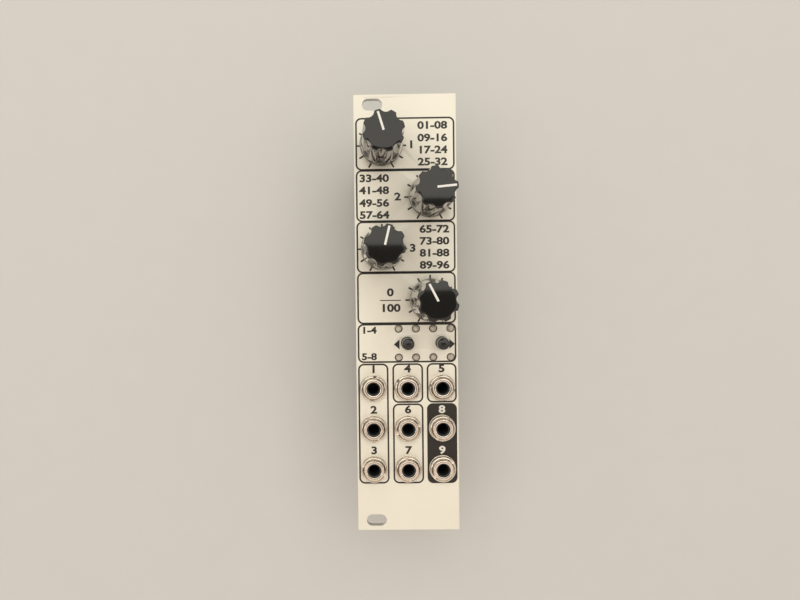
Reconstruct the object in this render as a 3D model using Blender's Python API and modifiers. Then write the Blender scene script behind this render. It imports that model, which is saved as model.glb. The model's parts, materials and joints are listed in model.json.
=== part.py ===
"""A synthesizer effects module, six grid units wide and three rack units tall.

The module lies on its back: +Z points out of its front panel, +Y to the panel's top edge and +X to the
panel's right edge. z = 0 is the plane on which the parts behind the rear board rest. The front panel
carries four knobs, two push buttons, eight indicator lamps and nine sockets. They are soldered to a front
board, and a rear board with the processor and the power header plugs onto its back. Lengths are in metres.
"""

import math

import bmesh
import bpy
from mathutils import Matrix, Vector

# Gaps between pieces
SEAT_GAP = 0.0003
FIT_GAP = 0.0002
CUT_OVERRUN = 0.0010
JOIN_DEPTH = 0.0005

# Front panel, measured from its edges
PANEL_WIDTH = 0.0300
PANEL_HEIGHT = 0.1285
PANEL_THICKNESS = 0.0020
PANEL_EDGE_BEVEL = 0.00015
SLOT_LENGTH = 0.0058
SLOT_WIDTH = 0.0033
SLOT_INSET = 0.0055
RAIL_INSET = 0.0030

# Potentiometers: places on the panel, then the piece
KNOB_ROW_PITCH = 0.01512
KNOB_TOP_MARGIN = 0.0150
KNOB_COLUMN_OFFSET = 0.0070
POT_BODY_WIDTH = 0.0097
POT_BODY_LENGTH = 0.01135
POT_BODY_HEIGHT = 0.0068
POT_BODY_BEVEL = 0.0004
POT_SHAFT_OFFSET = 0.0008
POT_FLOOR = 0.0016
POT_BUSHING_WALL = 0.0003
POT_BUSHING_PROUD = 0.0004
POT_NUT_WALL = 0.0010
POT_NUT_THICKNESS = 0.0018
POT_LUG_WIDTH = 0.0010
POT_LUG_LENGTH = 0.0020
POT_PIN_PITCH = 0.0025
POT_PIN_INSET = 0.0008
SHAFT_RADIUS = 0.0030
SHAFT_FLAT_DEPTH = 0.0015
SHAFT_END_GAP = 0.0005

# Knobs. The pointer angles are clockwise from the panel's top, in degrees
KNOB_HEIGHT = 0.0162
KNOB_RIM_RADIUS = 0.0063
KNOB_RIM_HEIGHT = 0.0007
KNOB_WAIST_HEIGHT = 0.0020
KNOB_WAIST_RADIUS = 0.00605
KNOB_TOP_RADIUS = 0.0057
KNOB_TOP_CHAMFER = 0.00022
KNOB_RECESS_DEPTH = 0.0011
KNOB_RECESS_GAP = 0.00025
KNOB_RUNNING_GAP = 0.0004
KNOB_BORE_DEPTH = 0.0100
FLUTE_COUNT = 8
FLUTE_RADIUS = 0.00165
FLUTE_DEPTH = 0.00085
FLUTE_LEDGE = 0.0005
POINTER_WIDTH = 0.0006
POINTER_DEPTH = 0.0002
POINTER_ANGLES = (-16.8, 84.4, 13.9, -26.8)

# Sockets: places on the panel, then the piece
JACK_COLUMNS = 3
JACK_ROWS = 3
JACK_FIELD_STEP = 0.0089
JACK_COLUMN_GAP = 0.0011
JACK_ROW_GAP = 0.0015
JACK_BODY_WIDTH = 0.0090
JACK_BODY_LENGTH = 0.0105
JACK_BODY_HEIGHT = 0.0097
JACK_BORE_OFFSET = 0.00075
JACK_BUSHING_RADIUS = 0.0030
JACK_BUSHING_RISE = 0.0025
JACK_BUSHING_CHAMFER = 0.0003
JACK_BORE_RADIUS = 0.00185
JACK_FLOOR = 0.0008
JACK_NUT_RADIUS = 0.0039
JACK_NUT_THICKNESS = 0.0015
JACK_NUT_CHAMFER = 0.0003
JACK_NUT_SLOT_WIDTH = 0.0009
JACK_NUT_SLOT_DEPTH = 0.0006
JACK_NUT_TURNS = (98.0, 38.0, 12.0, 65.0, 160.0, 118.0, 25.0, 82.0, 140.0)

# Lamps and push buttons
LAMP_COLUMNS = 4
LAMP_ROWS = 2
LAMP_PITCH = 0.00508
LAMP_FIELD_OFFSET = 0.0052
LAMP_FIELD_STEP = 0.00842
LAMP_ROW_PITCH = 0.0085
LAMP_RADIUS = 0.00095
LAMP_FLANGE = 0.00025
LAMP_FLANGE_HEIGHT = 0.0005
LAMP_BODY_HEIGHT = 0.0038
LAMP_RISE = 0.0007
LAMP_LEG_PITCH = 0.00127
LAMP_LEG_SIDE = 0.00045
BUTTON_RADIUS = 0.00172
BUTTON_RISE = 0.0044
BUTTON_CHAMFER = 0.00030
BUTTON_TRAVEL = 0.00025
SWITCH_SIDE = 0.0060
SWITCH_HEIGHT = 0.0035
SWITCH_BEVEL = 0.0003
SWITCH_FLOOR = 0.0010
SWITCH_PIN_PITCH = 0.0045

# Circuit boards and the plugs between them
BOARD_THICKNESS = 0.0016
FRONT_BOARD_SIDE_INSET = 0.0004
FRONT_BOARD_TOP_EDGE = 0.0004
FRONT_BOARD_BOTTOM_EDGE = 0.0016
REAR_BOARD_WIDTH = 0.0270
REAR_BOARD_TOP_EDGE = 0.0008
REAR_BOARD_BOTTOM_EDGE = 0.0020
PIN_SIDE = 0.0006
PIN_TAIL = 0.0012
LINK_PINS = 6
LINK_PITCH = 0.00254
LINK_WIDTH = 0.0025
LINK_STRIP_HEIGHT = 0.0025
LINK_SOCKET_HEIGHT = 0.0050
LINK_SOCKET_FLOOR = 0.0012

# Parts behind the rear board
POWER_PINS = 5
POWER_ROWS = 2
POWER_LENGTH = 0.0203
POWER_WIDTH = 0.0090
POWER_HEIGHT = 0.0090
POWER_WALL = 0.0011
POWER_FLOOR = 0.0022
POWER_PIN_DROP = 0.0018
POWER_KEY_WIDTH = 0.0045
POWER_KEY_DEPTH = 0.0060
POWER_STEP = 0.0107
CAPACITOR_RADIUS = 0.0040
CAPACITOR_HEIGHT = 0.0090
CAPACITOR_GROOVE = 0.0004
CAPACITOR_SPACING = 0.0128
CAPACITOR_LEG_PITCH = 0.0035
CHIP_LEAD_PITCH = 0.00127
CHIP_LEAD_WIDTH = 0.00042
CHIP_LEAD_REACH = 0.0014
CHIP_LEAD_THICKNESS = 0.0003
CHIP_HEIGHT = 0.0024
PROCESSOR_WIDTH = 0.0075
PROCESSOR_LEADS = 10
PROCESSOR_X = -0.0035
PROCESSOR_STEP = 0.0204
CONVERTER_WIDTH = 0.0039
CONVERTER_LEADS = 5
CONVERTER_X = 0.0070
CONVERTER_STEP = 0.0349
REGULATOR_WIDTH = 0.0039
REGULATOR_LEADS = 4
REGULATOR_X = -0.0070
REGULATOR_STEP = 0.0469

# How round the round pieces are
ROUND_SIDES = 20
HOLE_SIDES = 16
KNOB_SIDES = 32
SMALL_SIDES = 10
HEXAGON_SIDES = 6
DOME_RINGS = 2
MERGE_DISTANCE = 0.00001
SHARP_DEGREES = 35.0

# Heights of the stack, from the rest plane up
REAR_BOARD_BACK_Z = max(POWER_HEIGHT, CAPACITOR_HEIGHT) + SEAT_GAP
REAR_BOARD_FRONT_Z = REAR_BOARD_BACK_Z + BOARD_THICKNESS
LINK_STACK = LINK_SOCKET_HEIGHT + LINK_STRIP_HEIGHT + 3 * SEAT_GAP
FRONT_BOARD_BACK_Z = REAR_BOARD_FRONT_Z + LINK_STACK
FRONT_BOARD_FRONT_Z = FRONT_BOARD_BACK_Z + BOARD_THICKNESS
PANEL_BACK_Z = FRONT_BOARD_FRONT_Z + max(JACK_BODY_HEIGHT, POT_BODY_HEIGHT) + 2 * SEAT_GAP
PANEL_FRONT_Z = PANEL_BACK_Z + PANEL_THICKNESS

# Sizes that follow from the ones above
POT_BORE_RADIUS = SHAFT_RADIUS + FIT_GAP
POT_BUSHING_RADIUS = POT_BORE_RADIUS + POT_BUSHING_WALL
POT_BUSHING_TOP_Z = PANEL_FRONT_Z + SEAT_GAP + POT_NUT_THICKNESS + POT_BUSHING_PROUD
POT_NUT_APOTHEM = POT_BUSHING_RADIUS + POT_NUT_WALL
POT_NUT_CORNER_RADIUS = POT_NUT_APOTHEM / math.cos(math.pi / HEXAGON_SIDES)
KNOB_RECESS_RADIUS = POT_NUT_CORNER_RADIUS + KNOB_RECESS_GAP
KNOB_BASE_Z = POT_BUSHING_TOP_Z + KNOB_RUNNING_GAP - KNOB_RECESS_DEPTH
SHAFT_TOP_Z = KNOB_BASE_Z + KNOB_RECESS_DEPTH + KNOB_BORE_DEPTH - SHAFT_END_GAP
SHAFT_FOOT_Z = FRONT_BOARD_FRONT_Z + SEAT_GAP + POT_FLOOR + SEAT_GAP
SHAFT_FLAT_Z = POT_BUSHING_TOP_Z + SEAT_GAP
JACK_COLUMN_PITCH = JACK_BODY_WIDTH + JACK_COLUMN_GAP
JACK_ROW_PITCH = JACK_BODY_LENGTH + JACK_ROW_GAP
LINK_LENGTH = LINK_PINS * LINK_PITCH
HOLE_SIDE = PIN_SIDE + 2 * FIT_GAP
THROUGH_TAIL = PIN_TAIL + BOARD_THICKNESS + SEAT_GAP

# Places along the module's length: the controls from the panel's top down, then what is behind them
KNOB_TOP_Y = PANEL_HEIGHT / 2 - KNOB_TOP_MARGIN
LAMP_TOP_Y = KNOB_TOP_Y - (len(POINTER_ANGLES) - 1) * KNOB_ROW_PITCH - LAMP_FIELD_STEP
LAMP_LOW_Y = LAMP_TOP_Y - (LAMP_ROWS - 1) * LAMP_ROW_PITCH
JACK_TOP_Y = LAMP_LOW_Y - JACK_FIELD_STEP
JACK_LOW_Y = JACK_TOP_Y - (JACK_ROWS - 1) * JACK_ROW_PITCH
FRONT_BOARD_HIGH_Y = KNOB_TOP_Y - POT_SHAFT_OFFSET + POT_BODY_LENGTH / 2 + FRONT_BOARD_TOP_EDGE
FRONT_BOARD_LOW_Y = JACK_LOW_Y - JACK_BORE_OFFSET - JACK_BODY_LENGTH / 2 - FRONT_BOARD_BOTTOM_EDGE
LINK_TOP_Y = KNOB_TOP_Y - KNOB_ROW_PITCH / 2 - POT_SHAFT_OFFSET
LAMP_FIELD_LOW_Y = LAMP_LOW_Y - LAMP_RADIUS - LAMP_FLANGE
JACK_FIELD_HIGH_Y = JACK_TOP_Y - JACK_BORE_OFFSET + JACK_BODY_LENGTH / 2
LINK_BOTTOM_Y = (LAMP_FIELD_LOW_Y + JACK_FIELD_HIGH_Y) / 2
CAPACITOR_Y = LINK_TOP_Y + PIN_SIDE / 2 + 2 * SEAT_GAP + CAPACITOR_RADIUS
POWER_Y = LINK_BOTTOM_Y - POWER_STEP
REAR_BOARD_HIGH_Y = CAPACITOR_Y + CAPACITOR_RADIUS + REAR_BOARD_TOP_EDGE
REAR_BOARD_LOW_Y = POWER_Y - POWER_WIDTH / 2 - REAR_BOARD_BOTTOM_EDGE
PROCESSOR_Y = LINK_TOP_Y - PROCESSOR_STEP
CONVERTER_Y = LINK_TOP_Y - CONVERTER_STEP
REGULATOR_Y = LINK_TOP_Y - REGULATOR_STEP


def remove_old_objects():
    """Empty the scene without closing the file."""
    for item in list(bpy.data.objects):
        bpy.data.objects.remove(item, do_unlink=True)


def make_collection(name):
    """Add a collection to the scene and return it."""
    group = bpy.data.collections.new(name)
    bpy.context.scene.collection.children.link(group)
    return group


remove_old_objects()
MODULE = make_collection("effects_module")
CUTTERS = make_collection("cutters")


def make_material(name, colour, roughness, metallic=0.0, clear=0.0):
    """Return a Principled material of one finish."""
    finish = bpy.data.materials.new(name)
    finish.use_nodes = True
    shader = finish.node_tree.nodes["Principled BSDF"]
    shader.inputs["Base Color"].default_value = (*colour, 1.0)
    shader.inputs["Roughness"].default_value = roughness
    shader.inputs["Metallic"].default_value = metallic
    shader.inputs["Transmission Weight"].default_value = clear
    finish.diffuse_color = (*colour, 1.0)
    return finish


PANEL_METAL = make_material("satin_aluminium", (0.80, 0.78, 0.74), 0.35, 0.9)
KNOB_PLASTIC = make_material("glossy_black_plastic", (0.015, 0.015, 0.016), 0.15)
NICKEL = make_material("bright_nickel", (0.72, 0.70, 0.66), 0.2, 1.0)
BRASS = make_material("plated_brass", (0.66, 0.60, 0.48), 0.3, 1.0)
POT_CASE = make_material("grey_pot_case", (0.10, 0.11, 0.12), 0.5)
SOCKET_PLASTIC = make_material("black_socket_plastic", (0.02, 0.02, 0.02), 0.45)
LAMP_LENS = make_material("clear_lamp_lens", (0.78, 0.74, 0.68), 0.1, 0.0, 0.6)
BUTTON_PLASTIC = make_material("black_button_plastic", (0.02, 0.02, 0.02), 0.35)
BOARD_RESIN = make_material("black_board_resin", (0.02, 0.03, 0.025), 0.4)
LINK_PLASTIC = make_material("black_link_plastic", (0.025, 0.025, 0.025), 0.5)
CHIP_RESIN = make_material("chip_resin", (0.03, 0.03, 0.033), 0.55)
CAN_SLEEVE = make_material("capacitor_sleeve", (0.03, 0.035, 0.06), 0.35)


def add_block(shape, low, high):
    """Add a box to a bmesh, between its lowest and its highest corner."""
    low, high = Vector(low), Vector(high)
    place = Matrix.LocRotScale((low + high) / 2, None, high - low)
    bmesh.ops.create_cube(shape, size=1.0, matrix=place)


def add_bar(shape, radius, low_z, high_z, x=0.0, y=0.0, sides=ROUND_SIDES):
    """Add an upright round or many-sided bar to a bmesh."""
    place = Matrix.Translation((x, y, (low_z + high_z) / 2))
    bmesh.ops.create_cone(
        shape, cap_ends=True, segments=sides, radius1=radius, radius2=radius,
        depth=high_z - low_z, matrix=place)


def add_slot(shape, length, width, low_z, high_z, x, y):
    """Add an upright bar with two round sides and two flat ones to a bmesh, its length along X."""
    half_step = Matrix.Rotation(math.pi / ROUND_SIDES, 4, "Z")
    place = Matrix.Translation((x, y, (low_z + high_z) / 2)) @ half_step
    bar = bmesh.ops.create_cone(
        shape, cap_ends=True, segments=ROUND_SIDES, radius1=width / 2, radius2=width / 2,
        depth=high_z - low_z, matrix=place)
    for vert in bar["verts"]:
        vert.co.x += math.copysign((length - width) / 2, vert.co.x - x)


def add_outline(shape, outline, low_y, width):
    """Add a flat outline in X and Z to a bmesh, and give it a width along Y."""
    face = shape.faces.new([shape.verts.new((x, low_y, z)) for x, z in outline])
    far_side = bmesh.ops.extrude_face_region(shape, geom=[face])["geom"]
    moved_verts = [part for part in far_side if isinstance(part, bmesh.types.BMVert)]
    bmesh.ops.translate(shape, verts=moved_verts, vec=(0.0, width, 0.0))
    bmesh.ops.recalc_face_normals(shape, faces=shape.faces)


def add_pins(shape, places, low_z, high_z, side=PIN_SIDE):
    """Add a square pin to a bmesh at each of the places."""
    for x, y in places:
        add_block(shape, (x - side / 2, y - side / 2, low_z), (x + side / 2, y + side / 2, high_z))


def solid_from(shape, name):
    """Turn a bmesh into an object and free it."""
    mesh = bpy.data.meshes.new(name)
    shape.to_mesh(mesh)
    shape.free()
    item = bpy.data.objects.new(name, mesh)
    MODULE.objects.link(item)
    return item


def turned(name, profile, sides=ROUND_SIDES):
    """Turn a profile of radius and height pairs, listed down its outer side, about Z."""
    mesh = bpy.data.meshes.new(name)
    points = [(radius, 0.0, z) for radius, z in profile]
    mesh.from_pydata(points, [(i, i + 1) for i in range(len(points) - 1)], [])
    item = bpy.data.objects.new(name, mesh)
    MODULE.objects.link(item)
    screw = item.modifiers.new("turn", "SCREW")
    screw.steps = sides
    screw.render_steps = sides
    screw.use_merge_vertices = True
    screw.merge_threshold = MERGE_DISTANCE
    return item


def round_edges(item, width):
    """Bevel the sharp edges of an object by one facet."""
    bevel = item.modifiers.new("edges", "BEVEL")
    bevel.width = width
    bevel.segments = 1
    bevel.limit_method = "ANGLE"


def combine(item, operand, operation):
    """Cut the operand out of an object, or join it to the object."""
    for group in list(operand.users_collection):
        group.objects.unlink(operand)
    CUTTERS.objects.link(operand)
    operand.hide_render = True
    operand.display_type = "WIRE"
    boolean = item.modifiers.new(operation.lower(), "BOOLEAN")
    boolean.object = operand
    boolean.operation = operation
    boolean.solver = "EXACT"


def settle(item):
    """Apply an object's modifiers, remove its cutters and return the finished mesh's object."""
    bpy.context.view_layer.update()
    evaluated = item.evaluated_get(bpy.context.evaluated_depsgraph_get())
    mesh = bpy.data.meshes.new_from_object(evaluated)
    operands = [modifier.object for modifier in item.modifiers if modifier.type == "BOOLEAN"]
    item.modifiers.clear()
    item.data = mesh
    for operand in operands:
        bpy.data.objects.remove(operand, do_unlink=True)
    return item


def shade(mesh):
    """Shade the round faces smooth and keep the edges sharp."""
    mesh.shade_smooth()
    mesh.set_sharp_from_angle(angle=math.radians(SHARP_DEGREES))


def place_copies(pattern, names, places, material, turns=None):
    """Give each name an object that shares the pattern's mesh, and remove the pattern."""
    pattern.data.materials.clear()
    pattern.data.materials.append(material)
    shade(pattern.data)
    copies = []
    for index, (name, place) in enumerate(zip(names, places)):
        item = bpy.data.objects.new(name, pattern.data)
        MODULE.objects.link(item)
        item.location = place
        if turns:
            item.rotation_euler.z = -math.radians(turns[index])
        copies.append(item)
    bpy.data.objects.remove(pattern, do_unlink=True)
    return copies


def dress(item, material):
    """Give a single object its material."""
    item.data.materials.clear()
    item.data.materials.append(material)


def face_back(item, x, y, z):
    """Turn a piece that was made upright so that it hangs behind a board at z."""
    item.rotation_euler.x = math.pi
    item.location = (x, y, z)


def knob_places():
    """Return the knob axes: top to bottom, left and right by turns."""
    sides = (-1, 1, -1, 1)
    return [(side * KNOB_COLUMN_OFFSET, KNOB_TOP_Y - row * KNOB_ROW_PITCH) for row, side in enumerate(sides)]


def jack_places():
    """Return the socket axes, row by row from the top left."""
    return [((column - (JACK_COLUMNS - 1) / 2) * JACK_COLUMN_PITCH, JACK_TOP_Y - row * JACK_ROW_PITCH)
            for row in range(JACK_ROWS) for column in range(JACK_COLUMNS)]


def lamp_places():
    """Return the lamp axes, row by row from the top left."""
    left = LAMP_FIELD_OFFSET - (LAMP_COLUMNS - 1) / 2 * LAMP_PITCH
    return [(left + column * LAMP_PITCH, LAMP_TOP_Y - row * LAMP_ROW_PITCH)
            for row in range(LAMP_ROWS) for column in range(LAMP_COLUMNS)]


def button_places():
    """Return the two button axes, each amid four lamps."""
    return [(LAMP_FIELD_OFFSET + side * LAMP_PITCH, (LAMP_TOP_Y + LAMP_LOW_Y) / 2) for side in (-1, 1)]


def pot_pin_places():
    """Return the three terminals of a potentiometer, from its shaft's axis."""
    y = -POT_SHAFT_OFFSET - POT_BODY_LENGTH / 2 + POT_PIN_INSET
    return [(step * POT_PIN_PITCH, y) for step in (-1, 0, 1)]


def pot_lug_places():
    """Return the two bracket lugs of a potentiometer, from its shaft's axis."""
    x = (POT_BODY_WIDTH - POT_LUG_WIDTH) / 2 - POT_BODY_BEVEL
    return [(-x, 0.0), (x, 0.0)]


def jack_pin_places():
    """Return the three terminals of a socket, from its bore's axis."""
    inset_shares = (0.10, 0.66, 0.90)
    top = JACK_BODY_LENGTH / 2 - JACK_BORE_OFFSET
    return [(0.0, top - share * JACK_BODY_LENGTH) for share in inset_shares]


def lamp_leg_places():
    """Return the two legs of a lamp, from its axis."""
    return [(-LAMP_LEG_PITCH / 2, 0.0), (LAMP_LEG_PITCH / 2, 0.0)]


def switch_pin_places():
    """Return the four terminals of a switch, from its middle."""
    return [(x * SWITCH_SIDE / 2, y * SWITCH_PIN_PITCH / 2) for x in (-1, 1) for y in (-1, 1)]


def link_pin_places():
    """Return the pins of a board plug, from its middle."""
    return [((step - (LINK_PINS - 1) / 2) * LINK_PITCH, 0.0) for step in range(LINK_PINS)]


def power_pin_places():
    """Return the pins of the power header, from its middle."""
    return [((step - (POWER_PINS - 1) / 2) * LINK_PITCH, (row - (POWER_ROWS - 1) / 2) * LINK_PITCH)
            for row in range(POWER_ROWS) for step in range(POWER_PINS)]


def capacitor_places():
    """Return the two capacitors' axes."""
    return [(side * CAPACITOR_SPACING / 2, CAPACITOR_Y) for side in (-1, 1)]


def capacitor_leg_places():
    """Return the two legs of a capacitor, from its axis."""
    return [(side * CAPACITOR_LEG_PITCH / 2, 0.0) for side in (-1, 1)]


def moved(places, origins):
    """Return every place as seen from each of the origins."""
    return [(ox + x, oy + y) for ox, oy in origins for x, y in places]


def make_front_panel():
    """Make the panel with its slots and holes."""
    low = (-PANEL_WIDTH / 2, -PANEL_HEIGHT / 2, PANEL_BACK_Z)
    high = (PANEL_WIDTH / 2, PANEL_HEIGHT / 2, PANEL_FRONT_Z)
    shape = bmesh.new()
    add_block(shape, low, high)
    panel = solid_from(shape, "front_panel")
    round_edges(panel, PANEL_EDGE_BEVEL)

    below, above = PANEL_BACK_Z - CUT_OVERRUN, PANEL_FRONT_Z + CUT_OVERRUN
    holes = bmesh.new()
    for x, y in knob_places():
        add_bar(holes, POT_BUSHING_RADIUS + FIT_GAP, below, above, x, y, HOLE_SIDES)
    for x, y in jack_places():
        add_bar(holes, JACK_BUSHING_RADIUS + FIT_GAP, below, above, x, y, HOLE_SIDES)
    for x, y in lamp_places():
        add_bar(holes, LAMP_RADIUS + FIT_GAP, below, above, x, y, SMALL_SIDES)
    for x, y in button_places():
        add_bar(holes, BUTTON_RADIUS + FIT_GAP, below, above, x, y, HOLE_SIDES)
    combine(panel, solid_from(holes, "panel_holes"), "DIFFERENCE")

    slots = bmesh.new()
    for end in (-1, 1):
        add_slot(slots, SLOT_LENGTH, SLOT_WIDTH, below, above, SLOT_INSET - PANEL_WIDTH / 2,
                 end * (PANEL_HEIGHT / 2 - RAIL_INSET))
    combine(panel, solid_from(slots, "panel_slots"), "DIFFERENCE")
    dress(panel, PANEL_METAL)


def make_flute_cutter():
    """Return the eight scoops that flute a knob, each a leaning bar with a round lower end."""
    rise = KNOB_HEIGHT - KNOB_WAIST_HEIGHT
    lean = math.atan2(KNOB_WAIST_RADIUS - KNOB_TOP_RADIUS, rise)
    foot_z = KNOB_RECESS_DEPTH + FLUTE_LEDGE + FLUTE_RADIUS
    share_up = (foot_z - KNOB_WAIST_HEIGHT) / rise
    wall = KNOB_WAIST_RADIUS + (KNOB_TOP_RADIUS - KNOB_WAIST_RADIUS) * share_up
    axis_x = wall + FLUTE_RADIUS - FLUTE_DEPTH
    length = (KNOB_HEIGHT + CUT_OVERRUN - foot_z) / math.cos(lean)
    scoops = bmesh.new()
    bmesh.ops.create_uvsphere(scoops, u_segments=SMALL_SIDES, v_segments=2 * DOME_RINGS, radius=FLUTE_RADIUS)
    upper = [vert for vert in scoops.verts if vert.co.z > MERGE_DISTANCE]
    bmesh.ops.delete(scoops, geom=upper, context="VERTS")
    rim = [edge for edge in scoops.edges if edge.is_boundary]
    top = bmesh.ops.extrude_edge_only(scoops, edges=rim)["geom"]
    raised = [part for part in top if isinstance(part, bmesh.types.BMVert)]
    bmesh.ops.translate(scoops, verts=raised, vec=(0.0, 0.0, length))
    bmesh.ops.holes_fill(scoops, edges=[edge for edge in scoops.edges if edge.is_boundary])
    step = 2 * math.pi / FLUTE_COUNT
    place = Matrix.Rotation(math.pi / 2 + step / 2, 4, "Z") @ Matrix.Translation((axis_x, 0.0, foot_z))
    bmesh.ops.transform(scoops, matrix=place @ Matrix.Rotation(-lean, 4, "Y"), verts=scoops.verts)
    bmesh.ops.spin(
        scoops, geom=scoops.verts[:] + scoops.edges[:] + scoops.faces[:], axis=(0.0, 0.0, 1.0),
        angle=step * (FLUTE_COUNT - 1), steps=FLUTE_COUNT - 1, use_duplicate=True)
    bmesh.ops.recalc_face_normals(scoops, faces=scoops.faces)
    return solid_from(scoops, "flute_cutter")


def make_knobs():
    """Make the four fluted knobs on their axes, each with a D-shaped bore, a recess and a pointer groove."""
    profile = [
        (0.0, KNOB_HEIGHT),
        (KNOB_TOP_RADIUS - KNOB_TOP_CHAMFER, KNOB_HEIGHT),
        (KNOB_TOP_RADIUS, KNOB_HEIGHT - KNOB_TOP_CHAMFER),
        (KNOB_WAIST_RADIUS, KNOB_WAIST_HEIGHT),
        (KNOB_RIM_RADIUS, KNOB_RIM_HEIGHT),
        (KNOB_RIM_RADIUS, 0.0),
        (KNOB_RECESS_RADIUS, 0.0),
        (KNOB_RECESS_RADIUS, KNOB_RECESS_DEPTH),
        (0.0, KNOB_RECESS_DEPTH),
    ]
    knob = turned("knob_pattern", profile, KNOB_SIDES)
    combine(knob, make_flute_cutter(), "DIFFERENCE")

    bore = bmesh.new()
    add_bar(bore, SHAFT_RADIUS + FIT_GAP, 0.0, KNOB_RECESS_DEPTH + KNOB_BORE_DEPTH, sides=HOLE_SIDES)
    flat_y = SHAFT_RADIUS - SHAFT_FLAT_DEPTH + FIT_GAP
    everything = bore.verts[:] + bore.edges[:] + bore.faces[:]
    bmesh.ops.bisect_plane(bore, geom=everything, plane_co=(0.0, flat_y, 0.0), plane_no=(0.0, 1.0, 0.0),
                           clear_outer=True)
    bmesh.ops.holes_fill(bore, edges=[edge for edge in bore.edges if edge.is_boundary])
    combine(knob, solid_from(bore, "bore_cutter"), "DIFFERENCE")

    groove = bmesh.new()
    add_block(groove, (-POINTER_WIDTH / 2, -POINTER_WIDTH / 2, KNOB_HEIGHT - POINTER_DEPTH),
              (POINTER_WIDTH / 2, KNOB_TOP_RADIUS + CUT_OVERRUN, KNOB_HEIGHT + CUT_OVERRUN))
    combine(knob, solid_from(groove, "pointer_cutter"), "DIFFERENCE")
    settle(knob)

    axes = []
    for index, (x, y) in enumerate(knob_places()):
        axis = bpy.data.objects.new(f"knob_axis_{index + 1}", None)
        MODULE.objects.link(axis)
        axis.location = (x, y, PANEL_FRONT_Z)
        axis.rotation_euler.z = -math.radians(POINTER_ANGLES[index])
        axes.append(axis)
    place = (0.0, 0.0, KNOB_BASE_Z - PANEL_FRONT_Z)
    names = [f"knob_{index + 1}" for index in range(len(axes))]
    for item, axis in zip(place_copies(knob, names, [place] * len(axes), KNOB_PLASTIC), axes):
        item.parent = axis
    make_shafts(axes)


def make_shafts(axes):
    """Make the four shafts, round in their bushings and flatted in their knobs."""
    shape = bmesh.new()
    add_bar(shape, SHAFT_RADIUS, SHAFT_FOOT_Z, SHAFT_TOP_Z)
    shaft = solid_from(shape, "shaft_pattern")
    flat = bmesh.new()
    add_block(flat, (-SHAFT_RADIUS - CUT_OVERRUN, SHAFT_RADIUS - SHAFT_FLAT_DEPTH, SHAFT_FLAT_Z),
              (SHAFT_RADIUS + CUT_OVERRUN, SHAFT_RADIUS + CUT_OVERRUN, SHAFT_TOP_Z + CUT_OVERRUN))
    combine(shaft, solid_from(flat, "flat_cutter"), "DIFFERENCE")
    settle(shaft)
    names = [f"pot_shaft_{index + 1}" for index in range(len(axes))]
    for item, axis in zip(place_copies(shaft, names, [(0.0, 0.0, -PANEL_FRONT_Z)] * len(axes), BRASS), axes):
        item.parent = axis


def make_pots():
    """Make the potentiometers' cases with their bushings and terminals, and the nuts on them."""
    low_z = FRONT_BOARD_FRONT_Z + SEAT_GAP
    high_z = low_z + POT_BODY_HEIGHT
    middle_y = -POT_SHAFT_OFFSET
    case = bmesh.new()
    add_block(case, (-POT_BODY_WIDTH / 2, middle_y - POT_BODY_LENGTH / 2, low_z),
              (POT_BODY_WIDTH / 2, middle_y + POT_BODY_LENGTH / 2, high_z))
    pot = solid_from(case, "pot_pattern")
    round_edges(pot, POT_BODY_BEVEL)

    added = bmesh.new()
    add_bar(added, POT_BUSHING_RADIUS, high_z - JOIN_DEPTH, POT_BUSHING_TOP_Z)
    tail_z = FRONT_BOARD_BACK_Z - PIN_TAIL
    add_pins(added, pot_pin_places(), tail_z, low_z + JOIN_DEPTH)
    for x, y in pot_lug_places():
        add_block(added, (x - POT_LUG_WIDTH / 2, y - POT_LUG_LENGTH / 2, tail_z),
                  (x + POT_LUG_WIDTH / 2, y + POT_LUG_LENGTH / 2, low_z + JOIN_DEPTH))
    combine(pot, solid_from(added, "pot_additions"), "UNION")

    bore = bmesh.new()
    add_bar(bore, POT_BORE_RADIUS, low_z + POT_FLOOR, POT_BUSHING_TOP_Z + CUT_OVERRUN, sides=HOLE_SIDES)
    combine(pot, solid_from(bore, "pot_bore"), "DIFFERENCE")
    settle(pot)
    places = [(x, y, 0.0) for x, y in knob_places()]
    place_copies(pot, [f"pot_body_{index + 1}" for index in range(len(places))], places, POT_CASE)

    ring = bmesh.new()
    nut_low = PANEL_FRONT_Z + SEAT_GAP
    add_bar(ring, POT_NUT_CORNER_RADIUS, nut_low, nut_low + POT_NUT_THICKNESS, sides=HEXAGON_SIDES)
    nut = solid_from(ring, "pot_nut_pattern")
    hole = bmesh.new()
    add_bar(hole, POT_BUSHING_RADIUS + FIT_GAP, nut_low - CUT_OVERRUN,
            nut_low + POT_NUT_THICKNESS + CUT_OVERRUN, sides=HOLE_SIDES)
    combine(nut, solid_from(hole, "pot_nut_hole"), "DIFFERENCE")
    settle(nut)
    place_copies(nut, [f"pot_nut_{index + 1}" for index in range(len(places))], places, NICKEL)


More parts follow.
